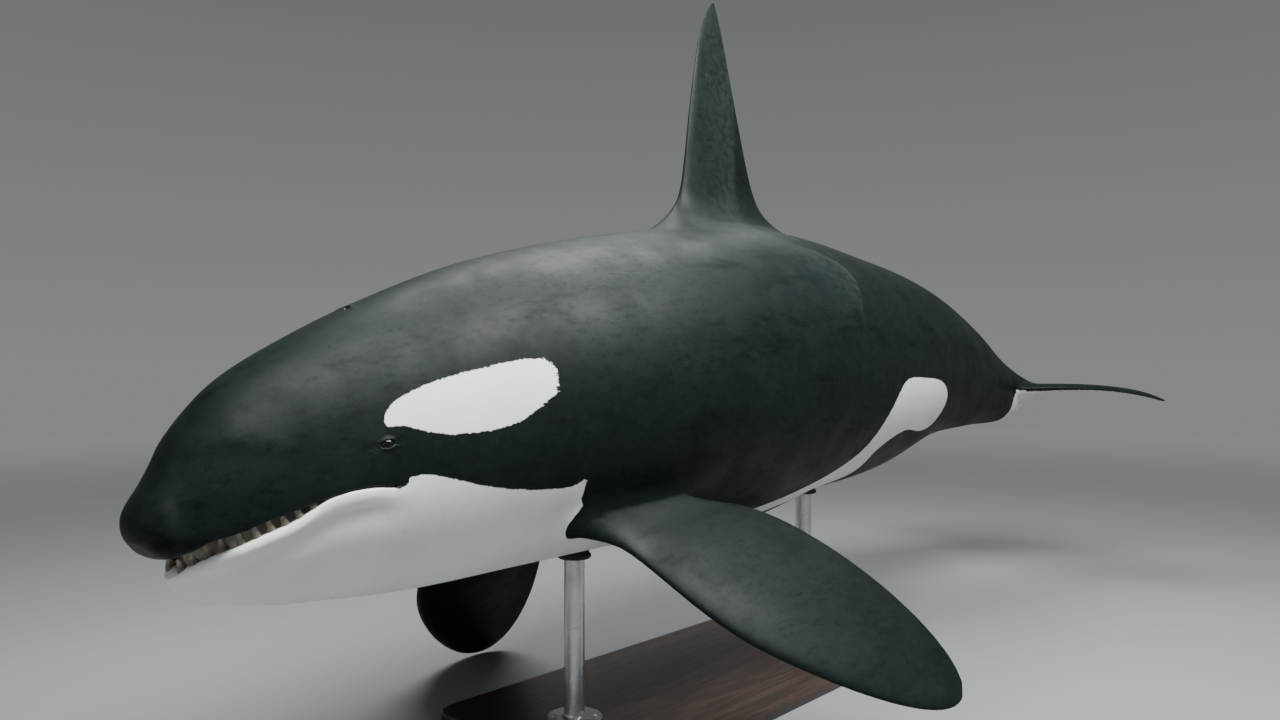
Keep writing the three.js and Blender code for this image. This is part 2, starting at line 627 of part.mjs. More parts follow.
whale.add(
  meshOf('head', head, BLACK_SKIN),
  meshOf('lower_jaw', jaw, WHITE_SKIN),
  meshOf('tongue', tongue, MOUTH_SKIN),
  ...eyes.map(({ side, name }) => meshOf(name, eyeBall(side, EYE.radius, EYE_FACETS), EYE_WET)),
  meshOf('thorax', thorax, BLACK_SKIN),
  meshOf('torso', torso, BLACK_SKIN),
  meshOf('loin', loin, BLACK_SKIN),
  meshOf('tail_stock', tailStock, BLACK_SKIN),
  meshOf('dorsal_fin', dorsalBlank().subtract(wholeBody), BLACK_SKIN),
  meshOf('flipper_left', flipperBlank(-1, LEFT_FLIPPER).subtract(wholeBody), BLACK_SKIN),
  meshOf('flipper_right', flipperBlank(1, RIGHT_FLIPPER).subtract(wholeBody), BLACK_SKIN),
  meshOf('fluke_left', flukes.intersect(flukeSide(-1)), BLACK_SKIN),
  meshOf('fluke_right', flukes.intersect(flukeSide(1)), BLACK_SKIN),
);

// Stand
const bodyInPlace = wholeBody.transform(whale.matrix.elements);
const orca = new THREE.Group();
orca.add(
  whale,
  meshOf('stand_base', basePlate(), STAND_PLATE),
  meshOf('stand_rod_front', rod(ROD.front, bodyInPlace), STAND_STEEL),
  meshOf('stand_rod_rear', rod(ROD.rear, bodyInPlace), STAND_STEEL),
);

export default orca;
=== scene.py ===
import math

import bmesh
import bpy
import numpy as np
from bpy.props import FloatProperty, FloatVectorProperty, IntProperty, PointerProperty
from mathutils import Matrix, Vector


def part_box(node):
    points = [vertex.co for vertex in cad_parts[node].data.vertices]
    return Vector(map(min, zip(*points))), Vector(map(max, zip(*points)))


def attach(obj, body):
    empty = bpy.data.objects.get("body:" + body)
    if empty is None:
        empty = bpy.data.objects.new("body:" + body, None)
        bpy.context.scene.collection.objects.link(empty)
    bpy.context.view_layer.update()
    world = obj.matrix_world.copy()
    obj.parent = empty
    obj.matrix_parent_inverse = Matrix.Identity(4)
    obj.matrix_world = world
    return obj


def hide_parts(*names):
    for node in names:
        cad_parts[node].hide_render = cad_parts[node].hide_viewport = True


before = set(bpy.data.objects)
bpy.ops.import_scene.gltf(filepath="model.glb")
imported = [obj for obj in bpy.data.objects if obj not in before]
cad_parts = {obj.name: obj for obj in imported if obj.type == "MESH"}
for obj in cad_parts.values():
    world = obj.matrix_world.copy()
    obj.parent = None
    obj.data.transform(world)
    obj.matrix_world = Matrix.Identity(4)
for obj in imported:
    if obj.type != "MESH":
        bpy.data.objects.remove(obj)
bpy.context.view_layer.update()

bl_info = {
    "name": "Orca on a display stand",
    "version": (1, 0, 0),
    "blender": (4, 5, 0),
    "location": "3D View > Sidebar > Orca",
    "description": "Life-size orca with its jaws a little apart, on a plain museum stand",
    "category": "Add Mesh",
}

# Metres, +Z up. The whale heads along -X and its left side is towards -Y.
# The body is first worked out straight, with x counted from the snout, and then bent and set on the stand.

# Carriage
LENGTH = 7.0                      # snout to the notch between the flukes
AXIS_HEIGHT = 1.37                # snout axis above the floor
STAND_AT = 2.9                    # distance of the stand's middle behind the snout
ROLL = -0.064                     # lean to the whale's left, radians
PITCH = -0.063                    # tail carried a little higher than the snout
TAIL_SWING = (0.220, 3.0)         # sideways swing at full length, and where it starts
HEAD_SWING = (0.046, 2.0)         # sideways turn of the snout, and where it ends
TAIL_DROOP = (0.445, 4.525)       # downward curve at full length, and where it starts

# Body outline, straight: distance from the snout, back, belly, half width
TRUNK_END = 6.9                   # where the tail stock closes, inside the flukes
STATIONS = np.array([
    (0.00, -0.205, -0.205, 0.000), (0.06, -0.108, -0.330, 0.126), (0.14, 0.013, -0.452, 0.162),
    (0.30, 0.180, -0.520, 0.240), (0.60, 0.333, -0.578, 0.342), (0.95, 0.465, -0.623, 0.443),
    (1.40, 0.597, -0.646, 0.558), (2.00, 0.702, -0.674, 0.659), (2.70, 0.768, -0.710, 0.698),
    (3.50, 0.777, -0.694, 0.671), (4.30, 0.656, -0.676, 0.566), (5.10, 0.497, -0.541, 0.423),
    (5.80, 0.311, -0.448, 0.265), (6.40, 0.125, -0.325, 0.120), (TRUNK_END, 0.048, -0.036, 0.034),
])
WIDEST_AT = 0.45                  # height of the widest line, between belly and back

# Mouth: distance from the snout and height of each lip
UPPER_LIP = np.array([
    (-0.06, -0.198), (0.02, -0.264), (0.055, -0.305), (0.09, -0.326), (0.13, -0.321), (0.21, -0.288),
    (0.32, -0.251), (0.40, -0.231), (0.49, -0.206), (0.56, -0.192), (0.61, -0.188), (0.66, -0.190),
    (0.70, -0.197),
])
LOWER_LIP = np.array([
    (0.13, -0.370), (0.17, -0.348), (0.25, -0.310), (0.32, -0.284), (0.40, -0.259), (0.46, -0.230),
    (0.505, -0.2070), (0.56, -0.195), (0.61, -0.191), (0.66, -0.193), (0.70, -0.200),
])
GAPE = 0.70                       # corner of the mouth
MOUTH_BOW = 1.1                   # rise of the front of the cut to its sides, per metre of width squared
JAW_TIP = 0.112                   # foremost point of the chin
CHIN_HEIGHT = -0.400              # its height
JAW_TIP_CURVE = 6.0               # how fast the chin rounds back to its sides, per metre

# Eyes
EYE_AT = 0.704
EYE_HEIGHT = -0.058
EYE_RADIUS = 0.027
EYE_SUNK = 0.0195                 # depth of the ball's middle under the skin

# Grid of the skin: columns over the back, under the belly, in each lip and across the mouth
BACK_COLUMNS = 133
BELLY_COLUMNS = 44
LIP_COLUMNS = 5
MOUTH_COLUMNS = 33


def smooth(t):
    """Ease from 0 to 1: t squared times 3 minus 2t, with t held between 0 and 1."""
    t = np.clip(t, 0, 1)
    return t * t * (3 - 2 * t)


def bump(t):
    """Bell curve: e to the minus t squared."""
    return np.exp(-np.square(t))


def mix(a, b, t):
    """Straight blend from a to b."""
    return a + (b - a) * t


def through(rows, at, column=1):
    """Smooth curve through the rows: cubic pieces with centred slopes, level past the ends."""
    keys, values = rows[:, 0], rows[:, column]
    slopes = np.empty_like(values)
    slopes[1:-1] = (values[2:] - values[:-2]) / (keys[2:] - keys[:-2])
    slopes[0] = (values[1] - values[0]) / (keys[1] - keys[0])
    slopes[-1] = (values[-1] - values[-2]) / (keys[-1] - keys[-2])
    i = np.clip(np.searchsorted(keys, at, side="right") - 1, 0, len(keys) - 2)
    step = keys[i + 1] - keys[i]
    t = np.clip((at - keys[i]) / step, 0, 1)
    return ((2 * t**3 - 3 * t**2 + 1) * values[i] + (t**3 - 2 * t**2 + t) * step * slopes[i]
            + (3 * t**2 - 2 * t**3) * values[i + 1] + (t**3 - t**2) * step * slopes[i + 1])


def section(x):
    """Top, bottom, half width and middle of the straight body. The square root key rounds the snout."""
    rows = STATIONS.copy()
    rows[:, 0] = np.sqrt(rows[:, 0])
    key = np.sqrt(np.maximum(x, 0))
    top, bottom, half = (through(rows, key, column) for column in (1, 2, 3))
    return top, bottom, np.maximum(half, 1e-5), bottom + WIDEST_AT * (top - bottom)


def spine(x):
    """Sideways and vertical shift of the body at x: squares of the distance past where each bend starts."""
    tail = np.maximum(0, (x - TAIL_SWING[1]) / (LENGTH - TAIL_SWING[1]))
    head = np.maximum(0, (HEAD_SWING[1] - x) / HEAD_SWING[1])
    droop = np.maximum(0, (x - TAIL_DROOP[1]) / (LENGTH - TAIL_DROOP[1]))
    return -TAIL_SWING[0] * tail**2 - HEAD_SWING[0] * head**2, -TAIL_DROOP[0] * droop**2


CARRIAGE = np.array(Matrix.Rotation(PITCH, 3, "Y") @ Matrix.Rotation(ROLL, 3, "X"))
CARRIED_TO = np.array((-STAND_AT, 0, AXIS_HEIGHT))


def bent(points):
    """Straight points moved by the spine's shifts."""
    aside, up = spine(points[..., 0])
    return np.stack([points[..., 0], points[..., 1] + aside, points[..., 2] + up], axis=-1)


def set_on_stand(points):
    """Points of the whale's own frame, leaned and carried over the base."""
    return points @ CARRIAGE.T + CARRIED_TO


def half_width_at(x, z):
    """Half width of the straight body at a height: the half ellipse above or below the widest line."""
    top, bottom, half, middle = section(x)
    reach = np.where(z > middle, (z - middle) / (top - middle), (z - middle) / (middle - bottom))
    return half * np.sqrt(np.maximum(0, 1 - reach**2))


# Meshes


def numbered(rings):
    """Numbers of the vertices of a grid, in its rows and columns."""
    return np.arange(rings[..., 0].size).reshape(rings.shape[:2])


def quads(index, closed=False):
    """Four-sided faces over a grid of vertex numbers, joined round its columns where closed."""
    left = index if closed else index[:, :-1]
    right = np.roll(index, -1, axis=1) if closed else index[:, 1:]
    return np.stack([left[:-1], right[:-1], right[1:], left[1:]], axis=-1).reshape(-1, 4)


def fan(hub, row):
    """Triangles from one vertex to a closed row, each with its last corner doubled to fill four places."""
    following = np.roll(row, -1)
    return np.stack([np.full(len(row), hub), row, following, following], axis=-1)


def lofted(rings, first_pole, last_pole):
    """Points and faces over closed rings, with a pole at each end."""
    index = numbered(rings)
    hub = index.size
    points = np.concatenate([rings.reshape(-1, 3), [first_pole, last_pole]])
    faces = np.concatenate([quads(index, closed=True), fan(hub, index[0]), fan(hub + 1, index[-1])])
    return points, faces


def joined(parts):
    """Several (points, faces) as one."""
    points, faces, count = [], [], 0
    for part_points, part_faces in parts:
        points.append(part_points)
        faces.append(part_faces + count)
        count += len(part_points)
    return np.concatenate(points), np.concatenate(faces)


def new_object(name, points, faces):
    """Mesh object with shared, smooth, outward faces. A doubled corner makes a face a triangle."""
    mesh = bpy.data.meshes.new(name)
    three = faces[:, 2] == faces[:, 3]
    sizes = np.where(three, 3, 4)
    keep = np.ones(faces.shape, bool)
    keep[three, 3] = False
    corners = faces[keep]
    mesh.vertices.add(len(points))
    mesh.vertices.foreach_set("co", np.asarray(points, np.float32).ravel())
    mesh.loops.add(len(corners))
    mesh.loops.foreach_set("vertex_index", corners.astype(np.int32))
    mesh.polygons.add(len(faces))
    mesh.polygons.foreach_set("loop_start", (np.cumsum(sizes) - sizes).astype(np.int32))
    mesh.update(calc_edges=True)
    mesh.validate()
    shape = bmesh.new()
    shape.from_mesh(mesh)
    bmesh.ops.recalc_face_normals(shape, faces=shape.faces)
    shape.to_mesh(mesh)
    shape.free()
    mesh.shade_smooth()
    obj = bpy.data.objects.new(name, mesh)
    bpy.context.scene.collection.objects.link(obj)
    return obj


def rows_of(items, name):
    """Three numbers of each item, such as a vertex's place or normal, as an array of rows."""
    flat = np.empty(len(items) * 3, np.float32)
    items.foreach_get(name, flat)
    return flat.reshape(-1, 3).astype(float)


def move_vertices(mesh, points):
    """Set the places of a mesh's vertices."""
    mesh.vertices.foreach_set("co", np.asarray(points, np.float32).ravel())
    mesh.update()


def set_attribute(mesh, name, values):
    """One number at each vertex, for the materials."""
    attribute = mesh.attributes.new(name, "FLOAT", "POINT")
    attribute.data.foreach_set("value", np.asarray(values, np.float32))


def finish_piece(obj, look, replaced=()):
    """Material, body and replaced nodes of a piece."""
    obj.data.materials.clear()
    obj.data.materials.append(look)
    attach(obj, "root")
    if replaced:
        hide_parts(*replaced)
    return obj


def full_turn(count):
    """Even angles once round."""
    return np.linspace(0, 2 * np.pi, count + 1)[:-1]


def spaced(*spans):
    """Stations along a line from (from, to, step) spans that follow one another."""
    rows = [np.linspace(a, b, max(2, round((b - a) / step) + 1))[:-1] for a, b, step in spans]
    return np.concatenate([*rows, [spans[-1][1]]])


# Head, mouth and trunk


def forward_share(x):
    """How far the mouth's cut bows up to its sides: 1 at the snout, 0 behind the front teeth."""
    return smooth((0.21 - x) / 0.14)


def lip_edge(x, rows):
    """Angle below the widest line, half width and height at which a lip's cut meets the skin.
    The bow needs the width and the width the height, so the two are worked out in turn."""
    _, bottom, half, middle = section(x)
    height = through(rows, x)
    bow = MOUTH_BOW * forward_share(x) if rows is UPPER_LIP else 0
    wide = half_width_at(x, height)
    for _ in range(4):
        lifted = height + bow * wide**2
        wide = half_width_at(x, lifted)
    sine = np.clip((middle - lifted) / (middle - bottom), 0.02, 0.93)
    angle = np.arcsin(sine)
    return angle, half * np.cos(angle), middle - (middle - bottom) * sine


def curve_through_corner(start, corner, end, count):
    """Quadratic curve from start to end, pulled to a corner, at count points that end on end."""
    t = (np.arange(1, count + 1) / count)[None, :, None]
    start, corner, end = (p[:, None, :] for p in (start, corner, end))
    return (1 - t) ** 2 * start + 2 * t * (1 - t) * corner + t**2 * end


def mouth_opening(x):
    """How far the roof is vaulted and the floor hollowed at x, from 0 to 1."""
    return smooth((x - 0.135) / 0.06) * smooth((GAPE - 0.032 - x) / 0.09)


def roof_rise(inset, wide):
    """Rise of the palate at a distance in from the lip: a step behind the lip, then a low vault."""
    return 0.034 * smooth((inset - 0.012) / 0.018) + 0.014 * smooth((inset - 0.03) / (wide - 0.03))


def floor_fall(inset, wide):
    """Fall of the mouth floor: a level ledge for the teeth, then a trough."""
    return (0.003 * smooth((inset - 0.010) / 0.012) + 0.026 * smooth((inset - 0.036) / 0.045)
            + 0.008 * smooth((inset - 0.06) / np.maximum(wide - 0.06, 0.02)))


def roof_height(x, y, wide):
    """Height of the palate: the mouth's cut, raised to the sides at the front, and its vault."""
    vault = roof_rise(wide - np.abs(y), wide) * mouth_opening(x)
    return through(UPPER_LIP, x) + MOUTH_BOW * y**2 * forward_share(x) + vault


def floor_height(x, y, wide, height):
    """Height of the mouth floor: the lip's, less the fall of the ledge and trough."""
    return height - floor_fall(wide - np.abs(y), wide) * mouth_opening(x)


MOUTH_STEPS = np.array((0.004, 0.009, 0.014, 0.019, 0.026, 0.035, 0.046, 0.058))   # in from the lip


def across_mouth(wide, start):
    """Columns from one lip's inner edge to the other: steps of fixed size by the lip, then even ones."""
    inner = wide - start
    scale = np.minimum(1, inner / 0.11)[:, None]
    steps = MOUTH_STEPS[None, :] * scale
    rest = (MOUTH_COLUMNS + 1) // 2 - MOUTH_STEPS.size
    shares = (np.arange(1, rest + 1) / rest)[None, :]
    by_lip = inner[:, None] - steps
    middle = by_lip[:, -1:] * (1 - shares)
    one_side = np.concatenate([by_lip, middle], axis=1)
    return np.concatenate([one_side, -one_side[:, -2::-1]], axis=1)


def back_shares():
    """Places of the columns over the back, 0 at one lip and 1 at the other, closer at eyes and blowhole."""
    place = np.linspace(0, 1, 2001)
    eye, crown = 0.0895, 0.5

    def near(at, reach):
        return 1 / (1 + ((place - at) / reach) ** 6)

    density = 1 + 8 * (near(eye, 0.030) + near(1 - eye, 0.030)) + 5 * near(crown, 0.046)
    total = np.concatenate([[0], np.cumsum((density[1:] + density[:-1]) / 2)])
    return np.interp(np.linspace(0, 1, BACK_COLUMNS), total / total[-1], place)


def stacked(x, y, z):
    """Rows of points from one x a row."""
    return np.stack([np.broadcast_to(x[:, None], y.shape), y, z], axis=-1)


def points_at(x, y, z):
    """One point a row."""
    return np.stack([x, y, z], axis=-1)


def upper_rings(x):
    """Upper head: over the back from lip to lip, the round lip, the palate and the other lip.
    The outside is the body's ellipse. The palate is the higher of the cut and the ellipse's underside."""
    top, bottom, half, middle = section(x)
    angle, wide, height = lip_edge(x, UPPER_LIP)
    side_lip = mix(0.015, 0.008, smooth((x - 0.35) / 0.2))
    lip = np.minimum(mix(0.046, side_lip, smooth((x - 0.08) / 0.2)), 0.34 * wide)
    speed = np.hypot(half * np.sin(angle), (middle - bottom) * np.cos(angle))
    start = angle - lip / speed
    turn = mix(-start[:, None], np.pi + start[:, None], back_shares()[None, :])
    rise = np.where(np.sin(turn) > 0, (top - middle)[:, None], (middle - bottom)[:, None])
    outside = stacked(x, half[:, None] * np.cos(turn), middle[:, None] + rise * np.sin(turn))

    def roof(y):
        round_under = np.sqrt(np.maximum(0, 1 - (y / half[:, None]) ** 2))
        under = middle[:, None] - (middle - bottom)[:, None] * round_under
        return np.maximum(roof_height(x[:, None], y, wide[:, None]), under)

    inner = wide - lip
    left_start = points_at(x, -half * np.cos(start), middle - (middle - bottom) * np.sin(start))
    left_corner = points_at(x, -wide, height)
    left_end = points_at(x, -inner, roof(-inner[:, None])[:, 0])
    left = curve_through_corner(left_start, left_corner, left_end, LIP_COLUMNS)
    y = -across_mouth(wide, lip)
    palate = stacked(x, y, roof(y))
    right = left[:, ::-1] * (1, -1, 1)
    return np.concatenate([outside, left, palate, right], axis=1), start


def chin_width(back):
    """Half width of the round chin a distance behind its tip: a parabola that opens out past the chin."""
    return np.sqrt(np.maximum(back, 1e-7) / JAW_TIP_CURVE) * (1 + (back / 0.16) ** 4)


def narrower(a, b):
    """The smaller of two widths, rounded where they are alike."""
    return (a**-9.0 + np.maximum(b, 1e-4) ** -9.0) ** (-1 / 9)


def rounded_over(back, reach):
    """Quarter circle: 1 at the chin's tip, 0 from a distance of reach behind it."""
    return 1 - np.sqrt(np.maximum(0, 1 - (1 - np.minimum(back / reach, 1)) ** 2))


def jaw_shape(x):
    """Lip angle, half width, lip height and underside of the lower jaw, rounded over at the chin."""
    angle, wide, height = lip_edge(x, LOWER_LIP)
    bottom = section(x)[1]
    back = np.maximum(x - JAW_TIP, 0)
    wide = narrower(wide, chin_width(back))
    lip = mix(height, CHIN_HEIGHT, rounded_over(back, 0.045))
    return angle, wide, lip, mix(bottom, CHIN_HEIGHT, rounded_over(back, 0.050))


def lower_rings(x):
    """Lower jaw: under the chin from lip to lip, the broad round lip, the floor and the other lip.
    The outside is the body's lower ellipse, scaled to the jaw's own width and depth."""
    angle, wide, height, under = jaw_shape(x)
    closed = smooth((x - 0.40) / 0.10)
    outer = np.minimum(mix(0.036, 0.009, closed), 0.30 * np.minimum(wide, height - under))
    inner = np.minimum(mix(0.013, 0.008, closed), 0.25 * wide)
    fall = (under - height) * np.cos(angle) / (1 - np.sin(angle))
    speed = np.hypot(wide * np.tan(angle), fall)
    start = angle + outer / speed

    def outside_at(psi):
        y = wide[:, None] * np.cos(psi) / np.cos(angle)[:, None]
        share = (np.sin(psi) - np.sin(angle)[:, None]) / (1 - np.sin(angle))[:, None]
        return stacked(x, y, height[:, None] + (under - height)[:, None] * share)

    turn = mix(start[:, None], np.pi - start[:, None], np.linspace(0, 1, BELLY_COLUMNS)[None, :])
    outside = outside_at(turn) * (1, -1, 1)

    def floor(y):
        return floor_height(x[:, None], y, wide[:, None], height[:, None])

    edge = wide - inner
    right_start = outside_at(start[:, None])[:, 0]
    right = curve_through_corner(right_start, points_at(x, wide, height),
                                 points_at(x, edge, floor(edge[:, None])[:, 0]), LIP_COLUMNS)
    y = across_mouth(wide, inner)
    bed = stacked(x, y, floor(y))
    left = right[:, ::-1] * (1, -1, 1)
    return np.concatenate([outside, right, bed, left], axis=1), start


def body_rings(x, lip_start, jaw_start):
    """Whole rings behind the mouth: the lips' groove fades, and the columns ease to even angles."""
    top, bottom, half, middle = section(x)
    count = BACK_COLUMNS + BELLY_COLUMNS + 4 * LIP_COLUMNS
    between = np.arange(1, 2 * LIP_COLUMNS + 1) / (2 * LIP_COLUMNS + 1)
    over = mix(-lip_start, np.pi + lip_start, back_shares())
    left = np.pi + mix(lip_start, jaw_start, between)
    under = mix(np.pi + jaw_start, 2 * np.pi - jaw_start, np.linspace(0, 1, BELLY_COLUMNS))
    right = 2 * np.pi - mix(jaw_start, lip_start, between)
    dense = np.concatenate([over, left, under, right])
    even = np.pi / 2 + 2 * np.pi * (np.arange(count) - (BACK_COLUMNS - 1) / 2) / count
    ease = smooth((x - 0.90) / 0.65)[:, None]
    turn = mix(dense[None, :], even[None, :], ease)
    rise = np.where(np.sin(turn) > 0, (top - middle)[:, None], (middle - bottom)[:, None])
    return stacked(x, half[:, None] * np.cos(turn), middle[:, None] + rise * np.sin(turn))


def ring_places():
    """Distances from the snout of the rings of the upper head, the lower jaw and the body behind them.
    They are closer where the snout and chin round over, at the eyes, the blowhole and the flukes."""
    snout_end, chin_end = 0.06, JAW_TIP + 0.05
    snout = np.linspace(0.02, 1, 15)[:-1] ** 2 * snout_end
    chin = JAW_TIP + np.linspace(0.04, 1, 16)[:-1] ** 2 * (chin_end - JAW_TIP)
    upper = spaced((snout_end, 0.30, 0.006), (0.30, 0.65, 0.0105), (0.65, GAPE, 0.0028))
    lower = spaced((chin_end, 0.30, 0.0075), (0.30, 0.66, 0.0105), (0.66, GAPE, 0.006))
    rear = spaced((GAPE, 0.76, 0.0028), (0.76, 0.87, 0.0035), (0.87, 0.96, 0.008), (0.96, 1.5, 0.015),
                  (1.5, 3.9, 0.027), (3.9, 6.0, 0.043), (6.0, TRUNK_END, 0.02))[1:]
    return np.concatenate([snout, upper]), np.concatenate([chin, lower]), rear


def trunk():
    """Closed grid of head, mouth and body: two tubes, the jaws, run into one at the corner of the mouth."""
    upper_x, lower_x, rear_x = ring_places()
    upper, lip_start = upper_rings(upper_x)
    lower, jaw_start = lower_rings(lower_x)
    rear = body_rings(rear_x, lip_start[-1], jaw_start[-1])

    n1, n2, lips = BACK_COLUMNS, BELLY_COLUMNS, LIP_COLUMNS
    past_roof, past_floor = n1 + lips + MOUTH_COLUMNS, n2 + lips + MOUTH_COLUMNS
    last_upper, last_lower = upper[-1], lower[-1]
    left_groove = np.concatenate([last_upper[n1:n1 + lips], last_lower[past_floor:]])
    right_groove = np.concatenate([last_lower[n2:n2 + lips], last_upper[past_roof:]])
    fading = (1 - smooth((rear_x - GAPE) / 0.045))[:, None, None]
    for groove, first in ((left_groove, n1), (right_groove, n1 + 2 * lips + n2)):
        here = rear[:, first:first + 2 * lips]
        flush = body_rings(np.array([GAPE]), lip_start[-1], jaw_start[-1])[0, first:first + 2 * lips]
        here[..., 1:] += fading * (groove - flush)[None, :, 1:]

    upper_at = numbered(upper)
    lower_at = numbered(lower) + upper_at.size
    rear_at = numbered(rear) + upper_at.size + lower_at.size
    u, w = upper_at[-1], lower_at[-1]
    first_row = np.concatenate([u[:n1 + lips], w[past_floor:], w[:n2 + lips], u[past_roof:]])
    wall = np.stack([
        u[n1 + lips - 1:past_roof + 1],
        np.concatenate([w[past_floor:past_floor + 1], w[n2 + lips - 1:past_floor][::-1]]),
    ])
    count = upper_at.size + lower_at.size + rear_at.size
    poles = np.array([
        (0, 0, section(np.array([0.0]))[0][0]),
        (JAW_TIP, 0, CHIN_HEIGHT),
        (rear_x[-1] + 0.004, 0, rear[-1, :, 2].mean()),
    ])
    points = np.concatenate([upper.reshape(-1, 3), lower.reshape(-1, 3), rear.reshape(-1, 3), poles])
    faces = np.concatenate([
        quads(upper_at, closed=True), quads(lower_at, closed=True),
        quads(np.concatenate([first_row[None, :], rear_at]), closed=True), quads(wall),
        fan(count, upper_at[0]), fan(count + 1, lower_at[0]), fan(count + 2, rear_at[-1]),
    ])
    return points, faces


# Fins

FIN_COLUMNS = 30                  # facets on each face of a fin, fore to aft
FIN_EDGE = 0.0035                 # thickness of a fin's trailing edge

# Sizes in metres, thicknesses as shares of the chord
DORSAL = {
    "height": 1.245, "lead": 2.850, "trail": 3.515, "foot_at": 3.150, "tip_back": 0.440, "thickness": 0.17,
    "sunk": 0.17,
}
FLIPPER = {
    "length": 1.522, "width": 0.748, "root": 0.40, "widest": 0.467, "tip": 1.79, "lag": -0.052,
    "curl": -0.091, "thickness": 0.125, "sunk": 0.12, "at": (1.670, 0.436, -0.428),
}
LEFT_FLIPPER = {"side": -1, "sweep": 0.639, "dip": 0.456, "twist": -0.518}
RIGHT_FLIPPER = {"side": 1, "sweep": 0.726, "dip": 0.592, "twist": -0.518}
FLUKE = {
    "half_span": 0.935, "from": 6.390, "notch": 7.000, "height": -0.377, "slope": -0.06,
    "tip_droop": 0.137, "thickness": 0.112, "yaw": -0.11,
}


def fin_half(u, chord, thickness):
    """Half thickness of a streamlined section at a share u of its chord: round nose and fine tail."""
    u = np.clip(u, 0, 1)
    shape = 0.2969 * np.sqrt(u) - 0.126 * u - 0.3516 * u**2 + 0.2843 * u**3 - 0.1036 * u**4
    return 5 * thickness * chord * shape + FIN_EDGE / 2 * u


def fin_steps():
    """Chord shares and face signs round a section: down one face and back along the other."""
    share = np.linspace(0, 1, FIN_COLUMNS + 1)
    share = mix(share**1.7, 1 - (1 - share) ** 1.3, share)
    face = np.repeat([1.0, -1.0], [FIN_COLUMNS + 1, FIN_COLUMNS])
    return np.concatenate([share, share[-1:0:-1]]), face


def dorsal_chord(t):
    """Fore and aft edges and thickness of the dorsal fin at a share t of its height."""
    flare = np.exp(-t / 0.075)
    lead = DORSAL["lead"] + 0.095 * t + 0.268 * t**1.5 - 0.190 * flare
    trail = DORSAL["trail"] - 0.205 * t + 0.200 * flare
    rounding = np.sqrt(np.maximum(0, 1 - np.clip((t - 0.8) / 0.2, 0, 1) ** 2.4))
    tip = DORSAL["lead"] + DORSAL["tip_back"]
    thickness = DORSAL["thickness"] * (1 - 0.45 * t) * (1 + 0.5 * flare) * 0.8
    return tip + (lead - tip) * rounding, tip + (trail - tip) * rounding, thickness


def dorsal_foot():
    """Height of the back where the dorsal fin stands."""
    return section(np.array([DORSAL["foot_at"]]))[0][0]


def dorsal_fin():
    """Tall, nearly straight fin: sections stacked up the height, closer together at the tip."""
    share = np.sin(np.linspace(0, 1, 52) * np.pi / 2) * 0.9985
    rise = np.concatenate([[-DORSAL["sunk"]], DORSAL["height"] * share])
    t = np.maximum(0, rise / DORSAL["height"])
    fore, aft, thickness = (a[:, None] for a in dorsal_chord(t))
    foot = dorsal_foot()
    u, face = (a[None, :] for a in fin_steps())
    y = face * fin_half(u, aft - fore, thickness)
    rings = np.stack([fore + u * (aft - fore), y, np.broadcast_to((foot + rise)[:, None], y.shape)], axis=-1)
    tip = (DORSAL["lead"] + DORSAL["tip_back"] + 0.001, 0, foot + DORSAL["height"])
    points, faces = lofted(rings, rings[0].mean(0), tip)
    return bent(points), faces


def flipper_axes(side, sweep, dip, twist):
    """Directions of a flipper's span, chord and face, and its root, in the whale's own frame."""
    span = np.array((math.sin(sweep) * math.cos(dip), side * math.cos(sweep) * math.cos(dip), -math.sin(dip)))
    rear = np.array((math.cos(sweep), -side * math.sin(sweep), 0))
    face = -side * np.cross(rear, span)
    chord_way = rear * math.cos(twist) + face * math.sin(twist)
    normal = -side * np.cross(span, chord_way)
    x, y, z = FLIPPER["at"]
    return span, chord_way, normal, bent(np.array((x, side * y, z)))


def flipper_chord(t):
    """Chord and thickness of a flipper at a share t of its span: swelling from the root, round at the tip."""
    swell = np.sin(np.pi / 2 * np.clip(t / FLIPPER["widest"], 0, 1)) ** 1.3
    beyond = np.clip((t - FLIPPER["widest"]) / (1 - FLIPPER["widest"]), 0, 1)
    tapered = np.sqrt(np.maximum(0, 1 - beyond ** FLIPPER["tip"]))
    wide = np.where(t < FLIPPER["widest"], FLIPPER["root"] + (1 - FLIPPER["root"]) * swell, tapered)
    chord = FLIPPER["width"] * (wide + 0.16 * np.exp(-t / 0.05))
    return chord, FLIPPER["thickness"] * (1 - 0.4 * t) * (1 + 0.55 * np.exp(-t / 0.09))


def flipper(placing):
    """Broad paddle: sections along a gently curved span, closer together at the tip."""
    span, chord_way, normal, root = flipper_axes(**placing)
    s = np.concatenate([[-FLIPPER["sunk"]], 0.997 * np.sin(np.linspace(0, 1, 50) * np.pi / 2)])
    t = np.maximum(s, 0)
    chord, thickness = flipper_chord(t)
    u, face = fin_steps()
    length = FLIPPER["length"]
    centre = root + length * (np.outer(s, span) + FLIPPER["lag"] * np.outer(t**2, chord_way)
                              + FLIPPER["curl"] * np.outer(t**2, normal))
    w = face[None, :] * fin_half(u[None, :], chord[:, None], thickness[:, None])
    along = (u[None, :] - 0.5) * chord[:, None]
    rings = centre[:, None, :] + along[..., None] * chord_way + w[..., None] * normal
    tip = centre[-1] + span * 0.002
    return lofted(rings, rings[0].mean(0), tip)


def fluke_chord(t):
    """Front edge, chord and thickness of the flukes at a share t of the half span."""
    lead = FLUKE["from"] + 0.560 * t + 0.170 * t**4 - 0.060 * (1 - np.exp(-t / 0.06))
    trail = FLUKE["notch"] + 0.105 * (1 - np.exp(-t / 0.1)) + 0.025 * t
    lead = np.minimum(lead, FLUKE["from"] + 0.729)
    return lead, np.maximum(0.003, trail - lead), FLUKE["thickness"] * (1 - 0.35 * t)


